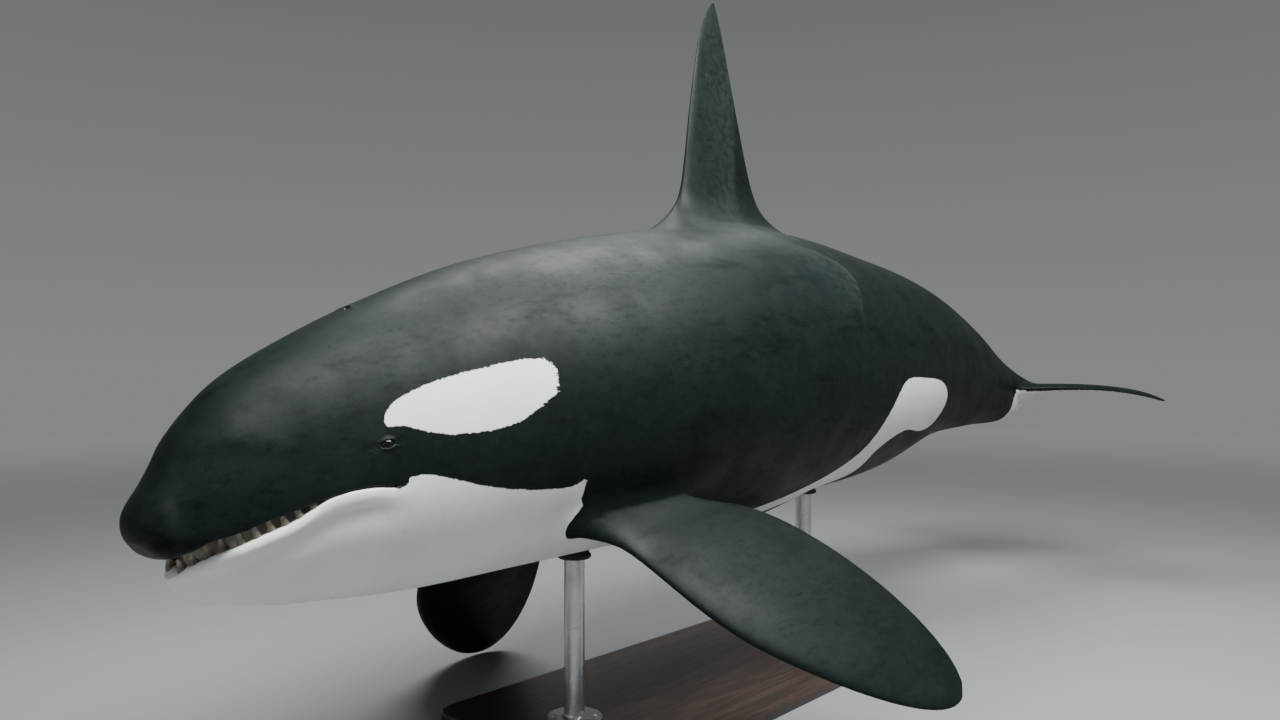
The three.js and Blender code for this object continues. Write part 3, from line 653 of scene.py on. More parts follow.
def fluke_turn():
    """Pivot of the flukes on the bent body, and the cosine and sine of their turn about it."""
    return bent(np.array((FLUKE["from"], 0, 0))), math.cos(FLUKE["yaw"]), math.sin(FLUKE["yaw"])


def fluke_sheet(back, t):
    """Height of the blade's middle sheet: a slope from front to back, and tips that droop."""
    return FLUKE["height"] + FLUKE["slope"] * (back - 0.3) - FLUKE["tip_droop"] * t**4


def fluke_blade():
    """Both flukes as one blade: swept sections from tip to tip, turned a little about the tail."""
    pivot, cosine, sine = fluke_turn()
    across = np.sin(np.linspace(-1, 1, 91) * np.pi / 2) * 0.9935
    t = np.abs(across)
    lead, chord, thickness = (a[:, None] for a in fluke_chord(t))
    u, face = (a[None, :] for a in fin_steps())
    w = face * fin_half(u, chord, thickness)
    back = lead - FLUKE["from"] + u * chord
    aside = np.broadcast_to((across * FLUKE["half_span"])[:, None], back.shape)
    x = pivot[0] + back * cosine - aside * sine
    y = pivot[1] + back * sine + aside * cosine
    rings = np.stack([x, y, fluke_sheet(back, t[:, None]) + w], axis=-1)
    return lofted(rings, rings[0].mean(0), rings[-1].mean(0))


# How far points lie from the body and the fins, for the fillets and the markings


def body_distance(straight):
    """Distance outside the straight body along the line from its middle.
    It is r times (1 - 1 / e), with r the distance from the middle and e the ellipse's value."""
    x, y, z = (straight[..., k] for k in range(3))
    top, bottom, half, middle = section(np.minimum(x, TRUNK_END))
    rise = np.where(z > middle, top - middle, middle - bottom)
    value = np.hypot(y / half, (z - middle) / rise)
    reach = np.hypot(y, z - middle)
    return reach * (1 - 1 / np.maximum(value, 1e-3))


def blade_distance(along, off, fore, chord, thickness):
    """Distance outside a section: past its edges along the chord, and off its faces across it."""
    u = (along - fore) / chord
    past = np.maximum(fore - along, along - fore - chord)
    above = np.abs(off) - fin_half(u, chord, thickness)
    outside = np.hypot(np.maximum(past, 0), np.maximum(above, 0))
    return outside + np.minimum(np.maximum(past, above), 0)


def dorsal_distance(own):
    """Distance outside the dorsal fin, from points of the whale's own frame."""
    aside, up = spine(own[..., 0])
    rise = own[..., 2] - up - dorsal_foot()
    t = np.clip(rise / DORSAL["height"], 0, 1)
    fore, aft, thickness = dorsal_chord(t)
    return blade_distance(own[..., 0], own[..., 1] - aside, fore, np.maximum(aft - fore, 0.004), thickness)


def flipper_distance(own, placing):
    """Distance outside a flipper, from points of the whale's own frame."""
    span, chord_way, normal, root = flipper_axes(**placing)
    length = FLIPPER["length"]
    out = (own - root) @ span
    t = np.clip(out / length, 0, 0.999)
    chord, thickness = flipper_chord(t)
    along = (own - root) @ chord_way - length * FLIPPER["lag"] * t**2
    off = (own - root) @ normal - length * FLIPPER["curl"] * t**2
    buried = np.maximum(-out - 1.5 * FLIPPER["sunk"], 0)
    return blade_distance(along, off, -chord / 2, chord, thickness) + buried


def fluke_place(own):
    """Distance behind the flukes' pivot, share of the half span and height over the blade's middle sheet."""
    pivot, cosine, sine = fluke_turn()
    dx, dy = own[..., 0] - pivot[0], own[..., 1] - pivot[1]
    back, aside = dx * cosine + dy * sine, dy * cosine - dx * sine
    t = np.clip(np.abs(aside) / FLUKE["half_span"], 0, 1)
    return back, t, own[..., 2] - fluke_sheet(back, t)


def fluke_distance(own):
    """Distance outside the flukes, from points of the whale's own frame."""
    back, t, off = fluke_place(own)
    lead, chord, thickness = fluke_chord(t)
    return blade_distance(back, off, lead - FLUKE["from"], chord, thickness)


def own_frame(points):
    """Points of the row's frame in the whale's own frame."""
    return (points - CARRIED_TO) @ CARRIAGE


def unbent(own):
    """Points of the whale's own frame with the spine's shifts taken off."""
    aside, up = spine(own[..., 0])
    return np.stack([own[..., 0], own[..., 1] - aside, own[..., 2] - up], axis=-1)


# Each fin's distance and the width of its fillet. The head, ahead of FILLETS_FROM, stays as it is.
FILLETS_FROM = 1.0
JOINS = (
    (dorsal_distance, 0.13),
    (lambda own: flipper_distance(own, LEFT_FLIPPER), 0.10),
    (lambda own: flipper_distance(own, RIGHT_FLIPPER), 0.10),
    (fluke_distance, 0.09),
)


def blended_distance(own, fin, width):
    """Smooth minimum of the distances to the body and a fin: the lower, less overlap squared over four."""
    a, b = body_distance(unbent(own)), fin(own)
    overlap = np.maximum(width - np.abs(a - b), 0) / width
    return np.minimum(a, b) - overlap**2 * width / 4


def gradient(field, points, step=0.001):
    """Slope of a field at points by central differences."""
    shifts = np.eye(3) * step
    return np.stack([(field(points + s) - field(points - s)) / (2 * step) for s in shifts], axis=-1)


def relaxed(points, edges, weight, rounds):
    """Points drawn towards the mean of their neighbours, as far as each one's weight says."""
    count = np.bincount(edges.ravel(), minlength=len(points))[:, None]
    for _ in range(rounds):
        total = np.zeros_like(points)
        np.add.at(total, edges[:, 0], points[edges[:, 1]])
        np.add.at(total, edges[:, 1], points[edges[:, 0]])
        points = points + weight[:, None] * (total / np.maximum(count, 1) - points)
    return points


def filleted(points, edges):
    """Points near where a fin meets the body, moved on to the smooth minimum of the two, and evened out."""
    own = own_frame(points)
    for fin, width in JOINS:
        body, blade = body_distance(unbent(own)), fin(own)
        reach = np.maximum(np.abs(body), np.abs(blade)) / width
        behind = own[:, 0] > FILLETS_FROM
        chosen = np.flatnonzero((reach < 1) & behind)
        weight = np.zeros(len(own))
        weight[chosen] = 0.5 * smooth((1 - reach[chosen]) / 0.35)
        for _ in range(4):
            own = relaxed(own, edges, weight, 2)
            for _ in range(3):
                here = own[chosen]
                value = blended_distance(here, fin, width)
                slope = gradient(lambda p: blended_distance(p, fin, width), here)
                size = np.maximum(np.sum(slope**2, axis=-1), 0.25)
                step = np.clip(value / size, -0.02, 0.02)
                own[chosen] = here - (step * (weight[chosen] > 0))[:, None] * slope
        own = relaxed(own, edges, 0.5 * smooth((1.35 - reach) / 0.5) * (own[:, 0] > FILLETS_FROM), 10)
    return set_on_stand(own)


# Eyes and blowhole


def eye_seat(side):
    """Place, outward, backward and upward directions of an eye in the whale's own frame."""
    reach = 0.008

    def skin_at(x, z):
        return bent(np.array((x, side * half_width_at(x, z), z)))

    seat = skin_at(EYE_AT, EYE_HEIGHT)
    along = skin_at(EYE_AT + reach, EYE_HEIGHT) - seat
    up = skin_at(EYE_AT, EYE_HEIGHT + reach) - seat
    out = -side * np.cross(along, up)
    out /= np.linalg.norm(out)
    back = along / np.linalg.norm(along)
    over = -side * np.cross(out, back)
    return seat, out, back, over / np.linalg.norm(over)


LID = {
    "half_length": 0.0235, "half_height": 0.0125, "tilt": 0.12, "thickness": 0.0018, "socket": 0.024,
    "reach": 2.7,
}


def with_eyelids(own):
    """Skin pushed in under each eye and raised round it as lids with two folds.
    The opening is an almond, and e counts from its middle, 1 on its rim. The height is the ball's at the rim,
    plus the lid's thickness, fading to nothing where e is the reach, less the folds."""
    for side in (-1, 1):
        seat, out, back, over = eye_seat(side)
        local = own - seat
        near = np.linalg.norm(local, axis=1) < 2 * LID["reach"] * LID["half_length"]
        p = local[near]
        u, w = p @ back, p @ over
        cosine, sine = math.cos(LID["tilt"]), math.sin(LID["tilt"])
        u, w = u * cosine + w * sine, w * cosine - u * sine
        share = np.clip(np.abs(u) / LID["half_length"], 0, 1)
        almond = LID["half_height"] * (1 - 0.22 * share**2)
        e = np.hypot(u / LID["half_length"], w / almond)
        rim = np.clip(1 / np.maximum(e, 1e-3), 0, 1)
        across = np.minimum(np.hypot(u * rim, w * rim), EYE_RADIUS * 0.98)
        ball = np.maximum(np.sqrt(EYE_RADIUS**2 - across**2) - EYE_SUNK, -0.0025)
        lid = ball + LID["thickness"] + 0.0006 * bump((e - 1.20) / 0.16)
        raised = lid * smooth((LID["reach"] - e) / (LID["reach"] - 1))
        folds = 0.0014 * bump((e - 1.75) / 0.12) + 0.0010 * bump((e - 2.35) / 0.12)
        socket = LID["socket"] * smooth((1 - e) / 0.30)
        own[near] += (raised - folds - socket)[:, None] * out
    return own


# Distance from the snout and height of the crease between the melon and the beak
BEAK_CREASE = np.array([
    (0.05, -0.070), (0.10, -0.052), (0.15, -0.034), (0.23, -0.024), (0.33, -0.042), (0.45, -0.074),
])
SNOUT_POLE = np.array((-0.01, 0, -0.205))


def lip_roll(x, z, upward):
    """Lower lip rolled outwards over a shallow hollow: two bell curves of the depth below the lip's edge.
    It fades at the chin's tip and behind the corner, and leaves out what faces up or lies in the mouth."""
    below = through(LOWER_LIP, np.clip(x, LOWER_LIP[0, 0], GAPE)) - z
    reach = mix(0.003, 0.012, smooth((x - GAPE) / 0.04))
    outside = smooth((0.80 - upward) / 0.5) * smooth((below + reach) / reach)
    hollow = 0.007 * smooth((x - 0.15) / 0.12)
    roll = 0.016 * bump((below - 0.024) / 0.024) - hollow * bump((below - 0.082) / 0.034)
    at_chin = mix(0.15, 1.0, smooth((x - JAW_TIP - 0.004) / 0.05))
    return roll * outside * at_chin * smooth((0.80 - x) / 0.20)


def melon_swell(x, z):
    """Melon swollen a little over the crease that parts it from the beak."""
    above = z - through(BEAK_CREASE, x)
    swell = 0.007 * smooth((above + 0.012) / 0.052) * smooth((0.17 - above) / 0.14)
    return swell * smooth((x - 0.09) / 0.08) * smooth((0.47 - x) / 0.22)


def with_lips(straight, normals):
    """Head with its lip rolled and melon swollen along the skin's outward directions, and a blunt snout.
    The snout is widened about its pole."""
    x, z = straight[:, 0], straight[:, 2]
    moved = straight + (lip_roll(x, z, normals[:, 2]) + melon_swell(x, z))[:, None] * normals
    blunt = 0.13 * smooth((0.105 - x) / 0.09)[:, None] * (0.4, 1, 0.7)
    return moved + (moved - SNOUT_POLE) * blunt


BLOWHOLE = {"at": 0.830, "radius": 0.046, "half_arc": 1.2, "depth": 0.016}


def with_blowhole(straight):
    """Crescent slit on the crown, hollow side forwards: a groove along an arc between two soft rims,
    with a low plug ahead of it."""
    x, y, z = straight.T
    centre = BLOWHOLE["at"] - BLOWHOLE["radius"]
    angle = np.arctan2(y, x - centre)
    off = np.hypot(x - centre, y) - BLOWHOLE["radius"]
    ends = smooth((BLOWHOLE["half_arc"] - np.abs(angle)) / 0.45)
    crown = z > section(x)[3]
    rims = 0.0022 * bump((np.abs(off) - 0.013) / 0.010)
    slit = BLOWHOLE["depth"] * bump(off / 0.0045)
    plug = 0.0014 * bump(np.hypot(x - centre - 0.012, y) / 0.022)
    straight[:, 2] += np.where(crown, (rims - slit) * ends + plug, 0)
    return straight


# Markings, on the straight body

# Corners of the eye patch: distance from the snout and height
EYE_PATCH = np.array([
    (0.716, -0.003), (0.708, 0.008), (0.712, 0.030), (0.728, 0.054), (0.766, 0.083), (0.87, 0.122),
    (1.03, 0.154), (1.19, 0.175), (1.29, 0.180), (1.355, 0.140), (1.34, 0.068), (1.29, 0.024),
    (1.19, -0.030), (1.08, -0.054), (0.94, -0.055), (0.859, -0.039), (0.808, -0.021), (0.772, -0.006),
    (0.740, -0.002),
])

# Corners of the throat's and flank lobe's white and edge of the belly's: distance and angle, in degrees
THROAT = np.array([
    (0.58, -30.0), (0.64, -11.0), (0.700, -7.2), (0.735, -6.4), (0.754, -5.2), (0.760, -3.1), (0.79, -3.0),
    (0.825, -3.7), (0.88, -6.2), (1.00, -12.4), (1.085, -16.1), (1.173, -19.0), (1.25, -21.0),
    (1.38, -22.8), (1.452, -21.0), (1.452, -30.0), (1.52, -42.0), (1.70, -90.0), (0.60, -90.0),
])
FLANK_LOBE = np.array([
    (2.60, -74.0), (2.92, -64.5), (3.29, -54.0), (3.54, -41.0), (3.72, -21.0), (3.90, -6.0), (4.20, -4.5),
    (4.53, -9.0), (4.69, -22.0), (4.60, -38.0), (4.38, -38.5), (4.06, -33.0), (3.78, -42.0), (3.64, -66.0),
])
BELLY_EDGE = np.array([
    (1.40, -44.0), (1.70, -53.0), (2.20, -62.0), (2.92, -65.0), (3.50, -70.0), (4.00, -75.0), (4.40, -80.0),
    (4.70, -95.0), (5.2, -120.0),
])
BELLY_FROM = 1.3                  # where the belly's white takes over from the throat's
PER_DEGREE = math.radians(0.60)   # metres along the skin for a degree, at a usual radius of 0.6 m

# Rear edge of the grey saddle: height and distance
SADDLE_EDGE = np.array([(0.05, 3.42), (0.27, 3.50), (0.43, 3.60), (0.50, 3.625), (0.59, 3.52), (0.68, 3.26)])

FAR_OUTSIDE = 0.3                 # distances to an outline are held at this outside it


def round_outline(corners, pieces=14):
    """Closed smooth curve through the corners: Catmull-Rom pieces."""
    a, b, c, d = (np.roll(corners, shift, axis=0)[:, None, :] for shift in (1, 0, -1, -2))
    t = (np.arange(pieces) / pieces)[None, :, None]
    curve = 0.5 * (2 * b + (c - a) * t + (2 * a - 5 * b + 4 * c - d) * t**2 + (3 * b - a - 3 * c + d) * t**3)
    return curve.reshape(-1, 2)


def inside_by(points, outline):
    """Distance to a closed outline in the plane, positive inside it."""
    start, end = outline, np.roll(outline, -1, axis=0)
    way = end - start
    offset = points[:, None, :] - start[None, :, :]
    t = np.clip(np.sum(offset * way, axis=2) / np.maximum(np.sum(way**2, axis=1), 1e-12), 0, 1)
    nearest = np.linalg.norm(offset - t[..., None] * way[None], axis=2).min(axis=1)
    above = points[:, None, 1] >= start[None, :, 1]
    next_above = points[:, None, 1] >= end[None, :, 1]
    level = (points[:, None, 1] - start[None, :, 1]) / np.where(way[:, 1] == 0, 1e-9, way[:, 1])[None]
    crossing = (above != next_above) & (points[:, None, 0] < start[None, :, 0] + level * way[None, :, 0])
    return np.where(crossing.sum(axis=1) % 2 == 1, nearest, -nearest)


def region(points, corners, scale=(1.0, 1.0), batch_size=8000):
    """Distance inside a smooth outline, worked out only near it."""
    outline = round_outline(corners * scale)
    low, high = outline.min(0) - FAR_OUTSIDE, outline.max(0) + FAR_OUTSIDE
    chosen = np.flatnonzero(np.all((points > low) & (points < high), axis=1))
    result = np.full(len(points), -FAR_OUTSIDE)
    for batch in np.array_split(chosen, max(1, len(chosen) // batch_size)):
        result[batch] = inside_by(points[batch], outline)
    return np.maximum(result, -FAR_OUTSIDE)


def soft_union(a, b, width):
    """Higher of two distances, with a rounded join."""
    overlap = np.maximum(width - np.abs(a - b), 0) / width
    return np.maximum(a, b) + overlap**2 * width / 4


def mouth_line(x):
    """Height halfway between the lips."""
    return (through(UPPER_LIP, x) + through(LOWER_LIP, np.maximum(x, LOWER_LIP[0, 0]))) / 2


def angle_up(straight):
    """Degrees above the widest line, with the body's section taken as round."""
    x, y, z = straight.T
    top, bottom, half, middle = section(np.minimum(x, TRUNK_END))
    rise = np.where(z > middle, top - middle, middle - bottom)
    return np.degrees(np.arctan2((z - middle) / rise, np.abs(y) / half))


def lower_jaw_white(x, z):
    """Depth below the line between the lips, which falls off behind the corner and ends soon after it.
    Ahead of the corner it is less above the line, so that no white shows over the closed lips."""
    depth = mouth_line(np.minimum(x, GAPE)) - 0.35 * np.maximum(x - GAPE, 0) - z
    return np.minimum(depth, GAPE + 0.045 - x) - 0.03 * ((depth < 0) & (x < GAPE + 0.02))


def body_white(straight, patch):
    """Distance inside the white of the body: throat, belly and flank lobe joined softly, jaw and eye patch.
    Over the belly it falls with the distance off the body, which keeps it off the flippers."""
    x, _, z = straight.T
    angle = angle_up(straight)
    side = np.stack([x, angle * PER_DEGREE], axis=1)
    throat = region(side, THROAT, (1, PER_DEGREE))
    lobe = region(side, FLANK_LOBE, (1, PER_DEGREE))
    belly = np.where(x > BELLY_FROM, (through(BELLY_EDGE, x) - angle) * PER_DEGREE, -FAR_OUTSIDE)
    white = soft_union(soft_union(throat, belly, 0.02), lobe, 0.05)
    white = np.maximum(np.maximum(white, lower_jaw_white(x, z)), patch)
    off_body = np.maximum(body_distance(straight), 0)
    return np.where(x > BELLY_FROM, white - 6 * np.maximum(off_body - 0.006, 0), white)


def fluke_white(own):
    """Distance inside the white under the flukes, from shares of the chord and span left dark at its rim."""
    back, t, off = fluke_place(own)
    lead, chord, _ = fluke_chord(t)
    share = (back - lead + FLUKE["from"]) / chord
    ahead = share + 0.24 * (1 - smooth(t / 0.30)) - 0.08
    under = np.minimum(np.minimum(ahead, 0.86 - share) * 0.5, 0.80 - t) * 0.6
    return np.where((own[:, 0] > 6.20) & (off < 0), under, -np.inf)


def raggedness(x, z, patch):
    """How torn the white's border is: behind the eye patch, under the mouth's corner and on the flukes."""
    behind_patch = smooth((x - 1.22) / 0.10) * smooth((patch + 0.12) / 0.05)
    under_corner = 0.45 * bump((x - 0.770) / 0.035) * (z < -0.08)
    return behind_patch + under_corner + 0.7 * smooth((x - 6.15) / 0.05)


def saddle_share(x, z):
    """Share of the grey saddle: a cape ahead of its rear edge, and a clearer line along that edge."""
    low, high = SADDLE_EDGE[0, 0], SADDLE_EDGE[-1, 0]
    within = through(SADDLE_EDGE, np.clip(z, low, high)) - x + 0.20 * np.maximum(z - high, 0)
    cape = 0.35 * smooth(within / 0.05) * smooth((0.50 - within) / 0.45) * smooth((z - 0.20) / 0.30)
    line = 0.75 * bump((within - 0.012) / 0.016) * smooth((z - 0.05) / 0.40) * smooth((0.72 - z) / 0.10)
    return np.maximum(cape, line)


def mouth_share(x, y, z):
    """Share of the mouth's lining colour, pink lightened as painted light: in from the lips, near the roof
    above their line or the floor below it.
    """
    upper_wide = lip_edge(x, UPPER_LIP)[1]
    _, lower_wide, lower_height, _ = jaw_shape(np.maximum(x, JAW_TIP + 0.002))
    roof = roof_height(x, y, upper_wide)
    floor = floor_height(x, y, lower_wide, lower_height)
    in_upper = smooth((upper_wide - np.abs(y) - 0.024) / 0.012) * smooth((roof + 0.010 - z) / 0.006)
    in_lower = smooth((lower_wide - np.abs(y) - 0.016) / 0.010) * smooth((z - floor + 0.010) / 0.006)
    in_upper = in_upper * smooth((x - 0.10) / 0.05)
    in_lower = in_lower * smooth((x - JAW_TIP - 0.014) / 0.012)
    return np.where(x < GAPE + 0.004, np.where(z > mouth_line(x), in_upper, in_lower), 0)


def markings(points):
    """The numbers at each vertex that the skin's material reads: distance inside the white, and shares."""
    own = own_frame(points)
    straight = unbent(own)
    x, y, z = straight.T
    patch = region(straight[:, [0, 2]], EYE_PATCH)
    return {
        "white": np.maximum(body_white(straight, patch), fluke_white(own)),
        "ragged": raggedness(x, z, patch),
        "saddle": saddle_share(x, z),
        "mouth": mouth_share(x, y, z),
    }


# Materials


def rgba(value):
    """A colour with its fourth number, or a socket as it is."""
    return value if isinstance(value, bpy.types.NodeSocket) else (*tuple(value)[:3], 1.0)


def shade(colour, share):
    """A colour made lighter or darker, each of its numbers times a share."""
    return [c * share for c in colour]


class Look:
    """A procedural material under construction, with short calls for its nodes."""

    def __init__(self, name, **shader):
        """New material, with values for the shader's inputs under their names in small letters."""
        self.material = bpy.data.materials.new(name)
        self.material.use_nodes = True
        self.nodes = self.material.node_tree.nodes
        self.links = self.material.node_tree.links
        self.shader = self.nodes["Principled BSDF"]
        for socket, value in shader.items():
            self.shader.inputs[socket.replace("_", " ").title().replace("Ior", "IOR")].default_value = value
        self.place = self.node("ShaderNodeTexCoord").outputs["Object"]

    def node(self, kind, **settings):
        """New node with its settings."""
        made = self.nodes.new(kind)
        for key, value in settings.items():
            setattr(made, key, value)
        return made

    def feed(self, socket, value):
        """Link or set an input, as the value is a socket or a number."""
        if isinstance(value, bpy.types.NodeSocket):
            self.links.new(value, socket)
        else:
            socket.default_value = value

    def stretched(self, scale, turn=(0, 0, 0)):
        """Object coordinates with a scale for each axis."""
        mapping = self.node("ShaderNodeMapping")
        mapping.inputs["Scale"].default_value = scale
        mapping.inputs["Rotation"].default_value = turn
        self.links.new(self.place, mapping.inputs["Vector"])
        return mapping.outputs["Vector"]

    def noise(self, scale, detail=4.0, roughness=0.55, vector=None, distortion=0.0):
        """Cloudy pattern from 0 to 1, with its grains a metre over the scale apart."""
        made = self.node("ShaderNodeTexNoise")
        self.feed(made.inputs["Vector"], vector or self.place)
        made.inputs["Scale"].default_value = scale
        made.inputs["Detail"].default_value = detail
        made.inputs["Roughness"].default_value = roughness
        made.inputs["Distortion"].default_value = distortion
        return made.outputs["Fac"]

    def math(self, operation, a, b=0.0, c=0.0):
        """Result of a math node."""
        made = self.node("ShaderNodeMath", operation=operation)
        for socket, value in zip(made.inputs, (a, b, c)):
            self.feed(socket, value)
        return made.outputs["Value"]

    def plus(self, a, b):
        """a plus b."""
        return self.math("ADD", a, b)

    def minus(self, a, b):
        """a less b."""
        return self.math("SUBTRACT", a, b)

    def times(self, a, b):
        """a times b."""
        return self.math("MULTIPLY", a, b)

    def between(self, value, low, high, to_low=0.0, to_high=1.0):
        """Ease from to_low to to_high as the value goes from low to high."""
        made = self.node("ShaderNodeMapRange", interpolation_type="SMOOTHSTEP")
        for socket, number in zip(made.inputs, (value, low, high, to_low, to_high)):
            self.feed(socket, number)
        return made.outputs["Result"]

    def attribute(self, name):
        """The number kept at each vertex under a name."""
        return self.node("ShaderNodeAttribute", attribute_name=name).outputs["Fac"]

    def blend(self, share, a, b):
        """Colour a with a share of colour b."""
        made = self.node("ShaderNodeMix", data_type="RGBA")
        self.feed(made.inputs["Factor"], share)
        self.feed(made.inputs["A"], rgba(a))
        self.feed(made.inputs["B"], rgba(b))
        return made.outputs["Result"]

    def spread(self, pattern, low, high, a, b, most=1.0):
        """Colour a with up to the most of colour b, where a pattern rises from low to high."""
        return self.blend(self.between(pattern, low, high, 0.0, most), a, b)

    def bump(self, height, strength, distance):
        """Grain in the light on the surface, from a height."""
        made = self.node("ShaderNodeBump")
        made.inputs["Strength"].default_value = strength
        made.inputs["Distance"].default_value = distance
        self.links.new(height, made.inputs["Height"])
        self.links.new(made.outputs["Normal"], self.shader.inputs["Normal"])

    def colour(self, value):
        """Feed the shader's colour."""
        self.feed(self.shader.inputs["Base Color"], value)

    def roughness(self, value):
        """Feed the shader's roughness."""
        self.feed(self.shader.inputs["Roughness"], value)


def scratches(look):
    """Long thin lines in patches: edges of cells stretched along the body, which wander a little."""
    wander = look.node("ShaderNodeVectorMath", operation="MULTIPLY_ADD")
    look.links.new(look.node("ShaderNodeTexNoise").outputs["Color"], wander.inputs[0])
    wander.inputs[1].default_value = (0.10, 0.10, 0.10)
    look.links.new(look.stretched((0.16, 1.0, 1.25), (0.15, 0.35, 0.2)), wander.inputs[2])
    cells = look.node("ShaderNodeTexVoronoi", feature="DISTANCE_TO_EDGE")
    cells.inputs["Scale"].default_value = 7.0
    look.links.new(wander.outputs["Vector"], cells.inputs["Vector"])
    lines = look.between(cells.outputs["Distance"], 0.0, 0.0045, 1.0, 0.0)
    return look.times(lines, look.between(look.noise(3.4, 4, 0.7), 0.56, 0.66))


def whiteness(look):
    """0 on the black and 1 on the white, with a hair's width between them.
    The distance inside the white is moved by fine noise, and by coarse noise where the border is ragged."""
    fine = look.minus(look.noise(80, 4, 0.7, vector=look.stretched((1, 1, 0.35))), 0.5)
    torn = look.minus(look.noise(48, 5, 0.75, vector=look.stretched((0.22, 1, 1.2), (0, 0.35, 0))), 0.5)
    edge = look.math("MULTIPLY_ADD", fine, 0.022, look.attribute("white"))
    edge = look.plus(edge, look.times(torn, look.times(look.attribute("ragged"), 0.08)))
    return look.between(edge, -0.0022, 0.0022)


def skin_look(settings):
    """Satin wet skin: black and white with a fine ragged border, mottling, streaks and light scratches."""
    look = Look("orca_skin")
    cloud = look.noise(1.6, 5, 0.6)
    mottle = look.noise(26, 8, 0.65)
    streak = look.noise(9, 6, 0.7, vector=look.stretched((0.25, 1.0, 1.0), (0, 0.25, 0.05)))
    speck = look.noise(34, 10, 0.85, vector=look.stretched((0.45, 1.0, 1.0), (0, 0.3, 0.1)))
    dark = look.times(look.between(speck, 0.46, 0.66), look.between(cloud, 0.35, 0.60, 0.25, 0.8))
    dark = look.math("MAXIMUM", dark, look.between(streak, 0.50, 0.72, 0, 0.8))
    scratch = scratches(look)
    cape = look.times(look.attribute("saddle"), look.between(mottle, 0.35, 0.6, 0.25, 0.9))

    black = look.spread(cloud, 0.38, 0.62, settings.black, shade(settings.black, 1.6))
    black = look.spread(mottle, 0.47, 0.62, black, settings.mottle, 0.7)
    black = look.blend(look.times(dark, 0.8), black, shade(settings.black, 0.35))
    black = look.blend(look.times(scratch, 0.30), black, settings.scratch)
    black = look.blend(cape, black, settings.saddle)

    white = look.spread(look.noise(3.0, 4), 0.35, 0.7, settings.white, shade(settings.white, 0.93))
    white = look.spread(mottle, 0.55, 0.78, white, shade(settings.white, 0.82), 0.35)
    on_white = whiteness(look)
    body = look.blend(on_white, black, white)

    in_mouth = look.attribute("mouth")
    # Mouth's lining: pink-grey, but much lighter than the real lining, as painted light against the shade
    # inside the mouth.
    lining_with_painted_light = look.spread(look.noise(18, 6, 0.6), 0.35, 0.7, settings.gum, shade(settings.gum, 0.62))
    look.colour(look.blend(in_mouth, body, lining_with_painted_light))

    satin = look.between(look.noise(5.0, 6, 0.6), 0.3, 0.7, 0.44, 0.60)
    satin = look.plus(satin, look.times(on_white, 0.06))
    look.roughness(look.minus(satin, look.times(in_mouth, 0.14)))
    dull = look.times(dark, look.minus(1.0, on_white))
    look.feed(look.shader.inputs["Specular IOR Level"], look.between(dull, 0.0, 1.0, 0.15, 0.09))
    coarse = look.times(look.noise(38, 5, 0.6), 0.65)
    grain = look.math("MULTIPLY_ADD", look.noise(160, 4, 0.6), 0.35, coarse)
    look.bump(look.minus(grain, look.times(scratch, 0.5)), 0.22, 0.004)
    return look.material


def eye_look(settings):
    """Dark wet eye: brown-grey iris with fine rays and a wide dark pupil, by the angle off the eye's axis."""
    look = Look("orca_eye", coat_weight=0.35, coat_roughness=0.04, roughness=0.25, specular_ior_level=0.15)
    off = look.attribute("off_axis")
    iris = look.spread(look.noise(220, 4, 0.7), 0.35, 0.7, settings.iris, shade(settings.iris, 0.4))
    inner = look.spread(off, 0.16, 0.22, settings.pupil, iris)
    sclera = look.spread(look.noise(90, 5), 0.4, 0.7, settings.sclera, shade(settings.sclera, 0.5))
    look.colour(look.spread(off, 0.36, 0.50, inner, sclera))
    look.bump(look.noise(150, 3), 0.04, 0.001)
    return look.material


def tooth_look(settings):
    """Worn ivory: stained olive-brown at the gum, pale at the tip, with fine cracks along the crown."""
    look = Look("orca_tooth", roughness=0.38)
    grain = look.noise(60, 5, 0.65, vector=look.stretched((1, 1, 0.3)))
    stain = look.plus(look.attribute("crown"), look.times(look.minus(grain, 0.5), 0.5))
    body = look.spread(stain, 0.15, 0.95, settings.tooth_root, settings.tooth_tip)
    look.colour(look.spread(look.noise(240, 3), 0.58, 0.72, body, shade(settings.tooth_root, 0.5), 0.4))
    look.roughness(look.between(grain, 0.3, 0.7, 0.30, 0.48))
    look.bump(grain, 0.2, 0.001)
    return look.material


def tongue_look(settings):
    """Moist tongue with small rounded bumps: beige-grey at the front, grey-pink behind, with dark patches.
    Both tones are much lighter than the real tongue, as painted light against the shade inside the mouth.
    """
    look = Look("orca_tongue", coat_weight=0.3, coat_roughness=0.2)
    patch = look.noise(12, 6, 0.6)
    aft = look.math("MULTIPLY_ADD", look.minus(patch, 0.5), 0.3, look.attribute("aft"))
    # Front and back tones, both much lighter than the real tongue: painted light against the shade inside the
    # mouth.
    tone = look.spread(aft, 0.22, 0.40, settings.tongue_front_with_painted_light, settings.gum)
    look.colour(look.spread(patch, 0.42, 0.62, tone, shade(settings.gum, 0.62)))
    look.roughness(look.between(patch, 0.3, 0.7, 0.34, 0.48))
    cells = look.node("ShaderNodeTexVoronoi")
    cells.inputs["Scale"].default_value = 190
    look.links.new(look.place, cells.inputs["Vector"])
    look.bump(cells.outputs["Distance"], 0.35, 0.0015)
    return look.material


